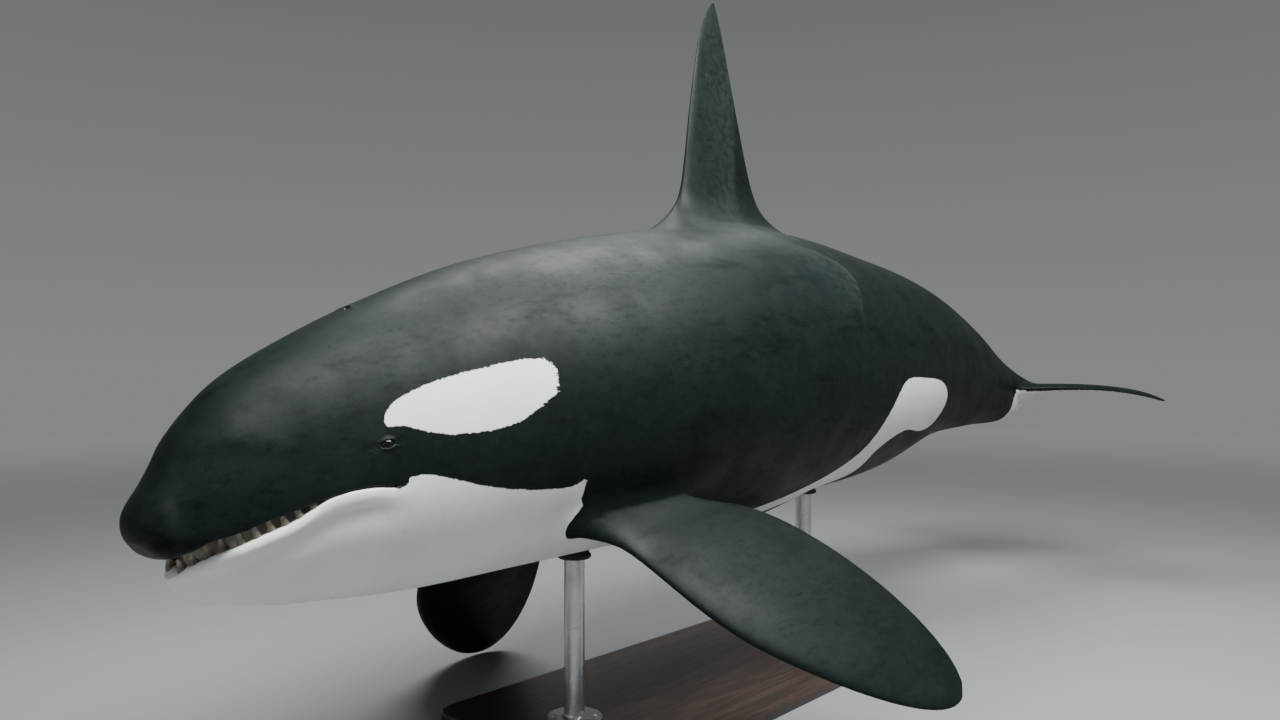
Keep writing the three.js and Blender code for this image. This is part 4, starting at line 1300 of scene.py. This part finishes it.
def wood_look(settings):
    """Dark stained timber: long grain with darker rings and pores, under satin lacquer."""
    look = Look("stand_wood", coat_weight=0.25, coat_roughness=0.22)
    flow = look.noise(1.1, 5, 0.6, vector=look.stretched((0.35, 6.0, 6.0)), distortion=0.5)
    ring = look.math("SINE", look.times(flow, 46.0))
    pores = look.noise(22, 5, 0.7, vector=look.stretched((0.4, 14.0, 14.0)))
    base = look.spread(ring, -0.9, 0.9, settings.wood, shade(settings.wood, 0.55))
    look.colour(look.spread(pores, 0.55, 0.75, base, shade(settings.wood, 0.25), 0.6))
    look.roughness(look.between(pores, 0.3, 0.8, 0.34, 0.52))
    look.bump(pores, 0.10, 0.001)
    return look.material


def steel_look(settings):
    """Brushed stainless steel: fine rings round the rod in the roughness and the bump."""
    look = Look("stand_steel", metallic=1.0)
    brush = look.noise(40, 6, 0.7, vector=look.stretched((0.5, 0.5, 18.0)))
    look.colour(look.spread(look.noise(7, 4), 0.35, 0.7, settings.steel, shade(settings.steel, 0.86)))
    look.roughness(look.between(brush, 0.3, 0.7, 0.24, 0.42))
    look.bump(brush, 0.06, 0.0006)
    return look.material


def pad_look():
    """Black rubber with a fine even grain."""
    look = Look("stand_rubber", roughness=0.7)
    grain = look.noise(180, 4)
    look.colour(look.spread(grain, 0.4, 0.7, (0.012, 0.012, 0.013), (0.03, 0.03, 0.032)))
    look.bump(grain, 0.3, 0.0008)
    return look.material


def floor_look(settings):
    """Pale matt floor with the faintest tone variation, which turns into the surround's light far away."""
    look = Look("studio_floor", roughness=0.8, specular_ior_level=0.0, emission_color=rgba(settings.horizon))
    off = look.node("ShaderNodeVectorMath", operation="LENGTH")
    look.links.new(look.place, off.inputs[0])
    far = off.outputs["Value"]
    look.feed(look.shader.inputs["Emission Strength"], look.between(far, 3.0, 20.0, 0.0, settings.sky))
    pale = look.spread(look.noise(0.6, 3), 0.3, 0.7, settings.floor, shade(settings.floor, 0.97))
    look.colour(look.spread(far, 8.0, 24.0, pale, (0, 0, 0)))
    return look.material


# What a user may change


def colour_property(name, description, default):
    """A colour as three numbers from 0 to 1."""
    return FloatVectorProperty(
        name=name, description=description, default=default, subtype="COLOR", min=0, max=1)


def number_property(name, description, default, unit="NONE"):
    """A size, a power or a plain number."""
    return FloatProperty(name=name, description=description, default=default, unit=unit)


class OrcaSkinSettings(bpy.types.PropertyGroup):
    """Colours of the skin and of the mouth's lining, the lining lightened as painted light against the
    mouth's shade
    """
    black: colour_property("Black", "Dark skin of the back, head and fins", (0.0030, 0.0066, 0.0066))
    white: colour_property("White", "Eye patch, throat, belly and flank lobes", (0.86, 0.88, 0.87))
    mottle: colour_property("Mottle", "Lighter mottling of the dark skin", (0.0068, 0.0115, 0.0104))
    saddle: colour_property("Saddle", "Faint grey patch behind the dorsal fin", (0.034, 0.044, 0.042))
    scratch: colour_property("Scratch", "Fine healed scratches", (0.024, 0.045, 0.048))
    # Lining of the mouth: pink-grey made much lighter than the real lining, as painted light against the
    # shade inside the mouth.
    gum: colour_property("Gum", "Lining of the mouth", (0.82, 0.70, 0.66))


class OrcaMouthSettings(bpy.types.PropertyGroup):
    """Count, heights and colours of the teeth, and the tongue's colours, lightened as painted light against
    the mouth's shade
    """
    teeth_a_side: IntProperty(
        name="Teeth a side", description="Teeth in each half of a jaw", default=12, min=8, max=14)
    lower_height: number_property("Lower teeth", "Height over the gum", 0.044, "LENGTH")
    upper_height: number_property("Upper teeth", "Height under the gum", 0.032, "LENGTH")
    tooth_root: colour_property("Stain", "Tooth colour at the gum", (0.130, 0.125, 0.080))
    tooth_tip: colour_property("Ivory", "Tooth colour at the tip", (0.62, 0.60, 0.50))
    # The tongue's two colours below are much lighter than the real tongue, as painted light against the shade
    # inside the mouth.
    tongue_front_with_painted_light: colour_property("Tongue's front", "Beige-grey front of the tongue", (0.84, 0.80, 0.72))
    gum: colour_property("Tongue", "Tongue colour farther back", (0.84, 0.64, 0.64))


class OrcaEyeSettings(bpy.types.PropertyGroup):
    """Size and colours of the eyeballs"""
    radius: number_property("Radius", "Radius of the eyeball", EYE_RADIUS, "LENGTH")
    pupil: colour_property("Pupil", "Colour of the pupil", (0.002, 0.002, 0.003))
    iris: colour_property("Iris", "Colour of the iris", (0.012, 0.009, 0.007))
    sclera: colour_property("Rim", "Colour round the iris", (0.008, 0.009, 0.011))


class OrcaStandSettings(bpy.types.PropertyGroup):
    """Sizes and finishes of the stand"""
    corner: number_property("Corner", "Radius of the base's corners", 0.110, "LENGTH")
    bevel: number_property("Bevel", "Rounding of the base's edges", 0.008, "LENGTH")
    rod_radius: number_property("Rod", "Radius of the rods", 0.045, "LENGTH")
    wood: colour_property("Wood", "Stained timber of the base", (0.050, 0.030, 0.020))
    steel: colour_property("Steel", "Brushed steel of the rods", (0.60, 0.61, 0.62))


class OrcaStageSettings(bpy.types.PropertyGroup):
    """Floor, lights and surround"""
    floor: colour_property("Floor", "Studio floor", (0.26, 0.27, 0.28))
    key_power: number_property("Key light", "Power of the large overhead light", 960, "POWER")
    fill_power: number_property("Fill light", "Power of the side light", 25, "POWER")
    horizon: colour_property("Horizon", "Surround at eye level, and the far floor", (0.80, 0.82, 0.84))
    overhead: colour_property("Overhead", "Surround above and below", (0.30, 0.32, 0.34))
    sky: number_property("Surround", "Brightness of the surround", 0.30)


# Pieces

HEAD_END = 1.1                    # the lips and the blowhole are shaped ahead of this
WELD = 0.0006                     # points closer than this after the union become one


def united(obj, fins, context):
    """Mesh of the trunk and the fins as one closed solid, by exact union, with close points welded."""
    for fin in fins:
        join = obj.modifiers.new(fin.name, "BOOLEAN")
        join.operation = "UNION"
        join.solver = "MANIFOLD"
        join.object = fin
    context.view_layer.update()
    mesh = bpy.data.meshes.new_from_object(obj.evaluated_get(context.evaluated_depsgraph_get()))
    obj.modifiers.clear()
    for fin in fins:
        bpy.data.objects.remove(fin)
    welded = bmesh.new()
    welded.from_mesh(mesh)
    bmesh.ops.remove_doubles(welded, verts=welded.verts, dist=WELD)
    bmesh.ops.triangulate(welded, faces=[f for f in welded.faces if len(f.verts) > 4])
    welded.to_mesh(mesh)
    welded.free()
    return mesh


class ORCA_OT_skin(bpy.types.Operator):
    """One skin over head, jaws, trunk, fins and flukes, filleted where they meet"""
    bl_idname = "orca.skin"
    bl_label = "Skin"

    def execute(self, context):
        points, faces = trunk()
        obj = new_object("orca_skin", points, faces)
        normals = rows_of(obj.data.vertex_normals, "vector")
        head = points[:, 0] < HEAD_END
        points[head] = with_blowhole(with_lips(points[head], normals[head]))
        move_vertices(obj.data, set_on_stand(with_eyelids(bent(points))))
        grids = {
            "dorsal": dorsal_fin(),
            "left": flipper(LEFT_FLIPPER),
            "right": flipper(RIGHT_FLIPPER),
            "flukes": fluke_blade(),
        }
        fins = [new_object(name, set_on_stand(grid), fin_faces) for name, (grid, fin_faces) in grids.items()]
        obj.data = united(obj, fins, context)
        edges = np.empty(len(obj.data.edges) * 2, np.int32)
        obj.data.edges.foreach_get("vertices", edges)
        smoothed = filleted(rows_of(obj.data.vertices, "co"), edges.reshape(-1, 2))
        move_vertices(obj.data, smoothed)
        obj.data.shade_smooth()
        for name, values in markings(smoothed).items():
            set_attribute(obj.data, name, values)
        finish_piece(obj, skin_look(context.scene.orca_skin), (
            "head", "lower_jaw", "thorax", "torso", "loin", "tail_stock", "dorsal_fin", "flipper_left",
            "flipper_right", "fluke_left", "fluke_right"))
        return {"FINISHED"}


class ORCA_OT_eyes(bpy.types.Operator):
    """Wet eyeballs with iris and pupil, set in the sockets"""
    bl_idname = "orca.eyes"
    bl_label = "Eyes"

    def execute(self, context):
        settings = context.scene.orca_eye
        look = eye_look(settings)
        for side, name in ((-1, "left"), (1, "right")):
            points, faces, off_axis = self.ball(side, settings.radius)
            obj = new_object("eyeball_" + name, set_on_stand(points), faces)
            set_attribute(obj.data, "off_axis", off_axis)
            finish_piece(obj, look, ("eye_" + name,))
        return {"FINISHED"}

    @staticmethod
    def ball(side, radius, cornea=0.03):
        """Sphere by tilts off its outward axis and turns about it, swollen in front as a cornea."""
        seat, out, back, over = eye_seat(side)
        centre = seat - out * EYE_SUNK
        tilt = np.linspace(0, np.pi, 34)[1:-1][:, None]
        turn = full_turn(48)[None, :]
        aside = np.cos(turn)[..., None] * back + np.sin(turn)[..., None] * over
        way = np.cos(tilt)[..., None] * out + np.sin(tilt)[..., None] * aside
        rings = centre + (radius * (1 + cornea * bump(tilt / 0.42)))[..., None] * way
        off_axis = np.concatenate([np.broadcast_to(tilt, rings.shape[:2]).ravel(), [0, np.pi]])
        return *lofted(rings, centre + out * radius * (1 + cornea), centre - out * radius), off_axis


TOOTH_ROWS = {
    "teeth_lower": {
        "lips": LOWER_LIP, "up": 1, "radius": 0.0175, "inset": 0.024, "start": 0.146, "end": 0.560,
        "sink": 0.018, "lean": -0.014, "ledge": -0.003,
    },
    "teeth_upper": {
        "lips": UPPER_LIP, "up": -1, "radius": 0.0105, "inset": 0.050, "start": 0.178, "end": 0.560,
        "sink": 0.018, "lean": 0.004, "ledge": 0.034,
    },
}


class ORCA_OT_teeth(bpy.types.Operator):
    """Conical teeth along both jaws, each a little different, leaning with the jaw"""
    bl_idname = "orca.teeth"
    bl_label = "Teeth"

    def execute(self, context):
        settings = context.scene.orca_mouth
        look = tooth_look(settings)
        draw = np.random.default_rng(11)
        for name, row in TOOTH_ROWS.items():
            full = settings.lower_height if row["up"] > 0 else settings.upper_height
            teeth = []
            for side in (-1, 1):
                for i, t in enumerate(np.linspace(0, 1, settings.teeth_a_side)):
                    shorter = 0.3 * float(smooth((i - 7) / 4)) + 0.2 * float(smooth((2 - i) / 2))
                    height = full * (1 - shorter) * (0.88 + 0.2 * draw.random())
                    radius = row["radius"] * (0.94 + 0.1 * draw.random())
                    lean = row["lean"] + 0.005 * (draw.random() - 0.5)
                    foot = self.foot(row, t, side)
                    teeth.append(self.tooth(foot, height, radius, lean, -side * 0.004, row))
            points, faces = joined([(p, f) for p, f, _ in teeth])
            obj = new_object(name, set_on_stand(bent(points)), faces)
            set_attribute(obj.data, "crown", np.concatenate([c for _, _, c in teeth]))
            finish_piece(obj, look)
        return {"FINISHED"}

    @staticmethod
    def foot(row, t, side):
        """Where a tooth stands: a share t along the row, in from the lip, and round the chin at the front."""
        x = row["start"] + (row["end"] - row["start"]) * t**1.2
        lip = float(through(row["lips"], x))
        chin = float(chin_width(x - JAW_TIP - row["inset"]))
        y = side * float(narrower(float(half_width_at(x, lip)) - row["inset"], chin))
        return np.array((x, y, lip + row["ledge"]))

    @staticmethod
    def tooth(foot, height, radius, lean, inward, row):
        """Cone with a swollen neck and a blunt tip, its axis leaning a little along the jaw and inwards."""
        rise = np.concatenate([[-row["sink"]], np.linspace(0, 1, 12)[:-1] ** 0.9 * height * 0.985])
        share = np.clip(rise / height, 0, 1)
        wide = radius * np.maximum(0, 1 - share**1.25) ** 0.8 * (1 + 0.06 * bump(share / 0.12))
        turn = full_turn(14)
        rings = np.stack([
            foot[0] + wide[:, None] * np.cos(turn) + (lean * share)[:, None],
            foot[1] + wide[:, None] * np.sin(turn) * 0.86 + (inward * share**2)[:, None],
            np.broadcast_to((foot[2] + row["up"] * rise)[:, None], (len(rise), len(turn))),
        ], axis=-1)
        tip = foot + (lean, inward, row["up"] * height)
        points, faces = lofted(rings, rings[0].mean(0), tip)
        return points, faces, np.concatenate([np.repeat(share, len(turn)), [0, 1]])


TONGUE = {
    "start": 0.172, "end": 0.655, "in_from_lip": 0.046, "under_lip": 0.006, "thick": 0.036,
    "furrow": 0.006,
}


class ORCA_OT_tongue(bpy.types.Operator):
    """Broad tongue that fills the lower jaw behind the teeth, with a shallow middle furrow"""
    bl_idname = "orca.tongue"
    bl_label = "Tongue"

    def execute(self, context):
        t = np.linspace(0.006, 0.994, 60)
        turn = full_turn(64)
        rings = self.rings(t, turn)
        points, faces = lofted(rings, rings[0].mean(0), rings[-1].mean(0))
        obj = new_object("tongue_soft", set_on_stand(bent(points)), faces)
        set_attribute(obj.data, "aft", np.concatenate([np.repeat(t, turn.size), [0, 1]]))
        finish_piece(obj, tongue_look(context.scene.orca_mouth), ("tongue",))
        return {"FINISHED"}

    @staticmethod
    def rings(t, turn):
        """Squarish ovals that follow the lips' height and the jaw's width, rounded at both ends."""
        x = mix(TONGUE["start"], TONGUE["end"], t)
        wide = (jaw_shape(x)[1] - TONGUE["in_from_lip"]) * (1 - (2 * t - 1) ** 8) ** 0.5
        level = through(LOWER_LIP, x) - TONGUE["under_lip"]
        thick = TONGUE["thick"] * np.sqrt(1 - (2 * t - 1) ** 6) * smooth((0.66 - x) / 0.20) ** 0.5
        y = wide[:, None] * np.sign(np.cos(turn)) * np.abs(np.cos(turn)) ** 0.6
        furrow = TONGUE["furrow"] * bump(np.cos(turn) / 0.10) * (np.sin(turn) > 0)
        return stacked(x, y, level[:, None] + thick[:, None] * np.sin(turn) - furrow)


# Flanged foot of a rod, and its bolts
FOOT = {"radius": 0.125, "rise": 0.022, "cove": 0.014, "under_round": 0.004, "over_round": 0.006}
BOLTS = {"count": 4, "at": 0.092}
SOCKET_HEAD = (                   # radius and height over the foot of a bolt's washer and head
    (0.006, 0.0), (0.013, 0.0), (0.013, 0.0035), (0.0125, 0.004), (0.0098, 0.0042), (0.0098, 0.0100),
    (0.0088, 0.0112), (0.004, 0.0114),
)
PLATE_RINGS = (0.5, 0.25, 0.1)    # insets of the rings on the base's flat faces


class ORCA_OT_stand(bpy.types.Operator):
    """Timber base with round corners, two steel rods with bolted feet, and rubber pads under the belly"""
    bl_idname = "orca.stand"
    bl_label = "Stand"

    def execute(self, context):
        settings = context.scene.orca_stand
        low, high = (np.array(corner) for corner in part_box("stand_base"))
        plinth = new_object("stand_plinth", *self.plate(low, high, settings))
        finish_piece(plinth, wood_look(settings), ("stand_base",))
        steel, rubber = steel_look(settings), pad_look()
        for place in ("front", "rear"):
            node = "stand_rod_" + place
            rod_low, rod_high = (np.array(corner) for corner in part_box(node))
            centre = (rod_low[:2] + rod_high[:2]) / 2
            rod = self.rod(centre, high[2], rod_high[2], settings.rod_radius)
            finish_piece(new_object(node + "_turned", *rod), steel, (node,))
            pad = self.pad(centre, rod_high[2], settings.rod_radius)
            finish_piece(new_object("stand_pad_" + place, *pad), rubber)
        return {"FINISHED"}

    @staticmethod
    def turned(profile, centre, sides=64):
        """Profile of radius and height pairs carried round a vertical axis."""
        profile = np.array(profile)
        turn = full_turn(sides)
        rings = np.stack([
            centre[0] + profile[:, :1] * np.cos(turn), centre[1] + profile[:, :1] * np.sin(turn),
            np.broadcast_to(profile[:, 1:], (len(profile), sides)),
        ], axis=-1)
        return lofted(rings, (*centre, profile[0, 1]), (*centre, profile[-1, 1]))

    @staticmethod
    def plate(low, high, settings):
        """Rounded rectangle drawn in towards its middle above and below, with quarter-round edges."""
        half = (high - low)[:2] / 2
        bevel = settings.bevel
        flat = np.array((*PLATE_RINGS, 0.02 + bevel))
        quarter = np.linspace(0, np.pi / 2, 7)
        under, over = bevel * (1 - np.sin(quarter)), bevel * (1 - np.cos(quarter))
        inset = np.concatenate([flat, under, over, flat[::-1]])[:, None]
        level = np.concatenate([np.full(flat.size, low[2]), low[2] + over, high[2] - under,
                                np.full(flat.size, high[2])])
        turn = full_turn(96)
        turn = turn + 0.5 * turn[1]
        corner_x = np.repeat([1, -1, -1, 1], turn.size // 4)
        corner_y = np.repeat([1, 1, -1, -1], turn.size // 4)
        radius = np.maximum(settings.corner - inset, 0.004)
        reach_x, reach_y = (np.maximum(length - inset - radius, 0.004) for length in half)
        x = corner_x * reach_x + radius * np.cos(turn)
        y = corner_y * reach_y + radius * np.sin(turn)
        rings = np.stack([x, y, np.broadcast_to(level[:, None], x.shape)], axis=-1)
        return lofted(rings, (0, 0, low[2]), (0, 0, high[2]))

    @classmethod
    def rod(cls, centre, floor, top, radius):
        """Steel rod with a flanged foot, a cove between the two, and bolts through the foot."""
        foot, cove, level = FOOT["radius"], FOOT["cove"], floor + FOOT["rise"]
        under, over = FOOT["under_round"], FOOT["over_round"]
        edge = [(1 - math.sin(a), 1 - math.cos(a)) for a in np.linspace(0, np.pi / 2, 6)]
        profile = [(foot * share, floor) for share in (0.3, 0.7, 0.96)]
        profile += [(foot - under * out, floor + under * up) for out, up in edge]
        profile += [(foot - over * up, level - over * out) for out, up in edge]
        profile += [(radius + cove + 0.012, level)]
        profile += [(radius + cove * out, level + cove * up) for out, up in edge]
        profile += [(radius, level + 0.10), (radius, (floor + top) / 2), (radius, top - 0.06)]
        profile += [(radius, top + 0.01), (radius * 0.6, top + 0.02)]
        head = [(wide, level - 0.002 + up) for wide, up in SOCKET_HEAD]
        pieces = [cls.turned(profile, centre)]
        for turn in full_turn(BOLTS["count"]) + math.pi / 4:
            place = (centre[0] + BOLTS["at"] * math.cos(turn), centre[1] + BOLTS["at"] * math.sin(turn))
            pieces.append(cls.turned(head, place, 24))
        return joined(pieces)

    @classmethod
    def pad(cls, centre, top, radius):
        """Rubber cup over the rod's end, with a rounded lip."""
        foot = top - 0.050
        cup = [(radius * 0.8, foot), (radius + 0.004, foot)]
        cup += [(radius + 0.020 + 0.010 * math.sin(a), foot + 0.012 * (1 - math.cos(a)))
                for a in np.linspace(0, np.pi, 9)]
        cup += [(radius + 0.020, top + 0.006), (radius * 0.8, top + 0.012)]
        return cls.turned(cup, centre)


# Camera of the photograph: place, level direction, and focal length and width of the picture in pixels
CAMERA_AT = (-4.114, -3.141, 1.655)
CAMERA_WAY = (0.755, 0.656, 0)
FOCAL_PX = 1000
WIDTH_PX = 1280

FLOOR_RINGS = (0.5, 1, 2, 3, 4, 6, 8, 12, 18, 26, 40)


class ORCA_OT_stage(bpy.types.Operator):
    """Pale floor, soft studio lights and the camera at the photograph's angle"""
    bl_idname = "orca.stage"
    bl_label = "Stage"

    def execute(self, context):
        settings = context.scene.orca_stage
        floor = new_object("studio_floor", *self.disc())
        floor.data.materials.append(floor_look(settings))
        self.light("key", (-1.1, -2.3, 6.0), (-0.2, 0, 1.3), settings.key_power, 6.0, 2.0)
        self.light("top", (1.6, 1.6, 6.8), (0.8, 0, 1.3), settings.key_power * 0.45, 5.0, 3.0)
        self.light("fill", (-6.5, -0.5, 2.6), (-1.2, 0, 1.1), settings.fill_power, 3.0, 2.4)
        self.surround(settings)
        self.camera()
        return {"FINISHED"}

    @staticmethod
    def disc():
        """Flat round floor of rings about a middle point, facing up."""
        radius = np.array(FLOOR_RINGS)[:, None]
        turn = full_turn(96)
        y = radius * np.sin(turn)
        rings = np.stack([radius * np.cos(turn), y, np.zeros_like(y)], axis=-1)
        index = numbered(rings)
        faces = np.concatenate([quads(index, closed=True), fan(index.size, index[0])])
        return np.concatenate([rings.reshape(-1, 3), [(0, 0, 0)]]), faces[:, ::-1]

    @staticmethod
    def light(name, place, aim, power, width, depth):
        """Soft rectangular lamp turned to a point."""
        data = bpy.data.lights.new(name, "AREA")
        data.shape = "RECTANGLE"
        data.size, data.size_y = width, depth
        data.energy = power
        obj = bpy.data.objects.new(name, data)
        bpy.context.scene.collection.objects.link(obj)
        obj.location = place
        obj.rotation_euler = (Vector(aim) - Vector(place)).to_track_quat("-Z", "Y").to_euler()

    @staticmethod
    def surround(settings):
        """Pale surround, brighter at the horizon than overhead."""
        world = bpy.data.worlds.new("studio")
        world.use_nodes = True
        nodes, links = world.node_tree.nodes, world.node_tree.links
        place = nodes.new("ShaderNodeTexCoord")
        split = nodes.new("ShaderNodeSeparateXYZ")
        ramp = nodes.new("ShaderNodeMapRange")
        ramp.inputs["From Min"].default_value = 0.0
        ramp.inputs["From Max"].default_value = 0.6
        colour = nodes.new("ShaderNodeMix")
        colour.data_type = "RGBA"
        colour.inputs["A"].default_value = rgba(settings.horizon)
        colour.inputs["B"].default_value = rgba(settings.overhead)
        links.new(place.outputs["Generated"], split.inputs["Vector"])
        links.new(split.outputs["Z"], ramp.inputs["Value"])
        links.new(ramp.outputs["Result"], colour.inputs["Factor"])
        links.new(colour.outputs["Result"], nodes["Background"].inputs["Color"])
        nodes["Background"].inputs["Strength"].default_value = settings.sky
        bpy.context.scene.world = world

    @staticmethod
    def camera():
        """Level camera ahead of the whale's left side, with the photograph's field of view."""
        data = bpy.data.cameras.new("camera")
        data.sensor_width = 36.0
        data.lens = data.sensor_width * FOCAL_PX / WIDTH_PX
        data.clip_end = 200
        obj = bpy.data.objects.new("camera", data)
        bpy.context.scene.collection.objects.link(obj)
        obj.location = CAMERA_AT
        obj.rotation_euler = Vector(CAMERA_WAY).to_track_quat("-Z", "Y").to_euler()
        bpy.context.scene.camera = obj


class ORCA_PT_panel(bpy.types.Panel):
    """Pieces of the orca and their settings"""
    bl_idname = "ORCA_PT_panel"
    bl_label = "Orca"
    bl_space_type = "VIEW_3D"
    bl_region_type = "UI"
    bl_category = "Orca"

    def draw(self, context):
        for operator, group in PIECES:
            box = self.layout.box()
            box.operator(operator.bl_idname)
            if group:
                settings = getattr(context.scene, group)
                for name in settings.__annotations__:
                    box.prop(settings, name)


PIECES = (
    (ORCA_OT_skin, "orca_skin"), (ORCA_OT_eyes, "orca_eye"), (ORCA_OT_teeth, "orca_mouth"),
    (ORCA_OT_tongue, None), (ORCA_OT_stand, "orca_stand"), (ORCA_OT_stage, "orca_stage"),
)
GROUPS = {
    "orca_skin": OrcaSkinSettings, "orca_mouth": OrcaMouthSettings, "orca_eye": OrcaEyeSettings,
    "orca_stand": OrcaStandSettings, "orca_stage": OrcaStageSettings,
}
CLASSES = (*GROUPS.values(), *(operator for operator, _ in PIECES), ORCA_PT_panel)


def register():
    """Make the classes known and give the scene their settings."""
    for cls in CLASSES:
        bpy.utils.register_class(cls)
    for name, group in GROUPS.items():
        setattr(bpy.types.Scene, name, PointerProperty(type=group))


def unregister():
    """Take the settings and classes away again."""
    for name in GROUPS:
        delattr(bpy.types.Scene, name)
    for cls in reversed(CLASSES):
        bpy.utils.unregister_class(cls)


def main():
    """Build the stage and every piece."""
    register()
    bpy.ops.orca.stage()
    bpy.ops.orca.skin()
    bpy.ops.orca.eyes()
    bpy.ops.orca.teeth()
    bpy.ops.orca.tongue()
    bpy.ops.orca.stand()


if __name__ == "__main__":
    main()
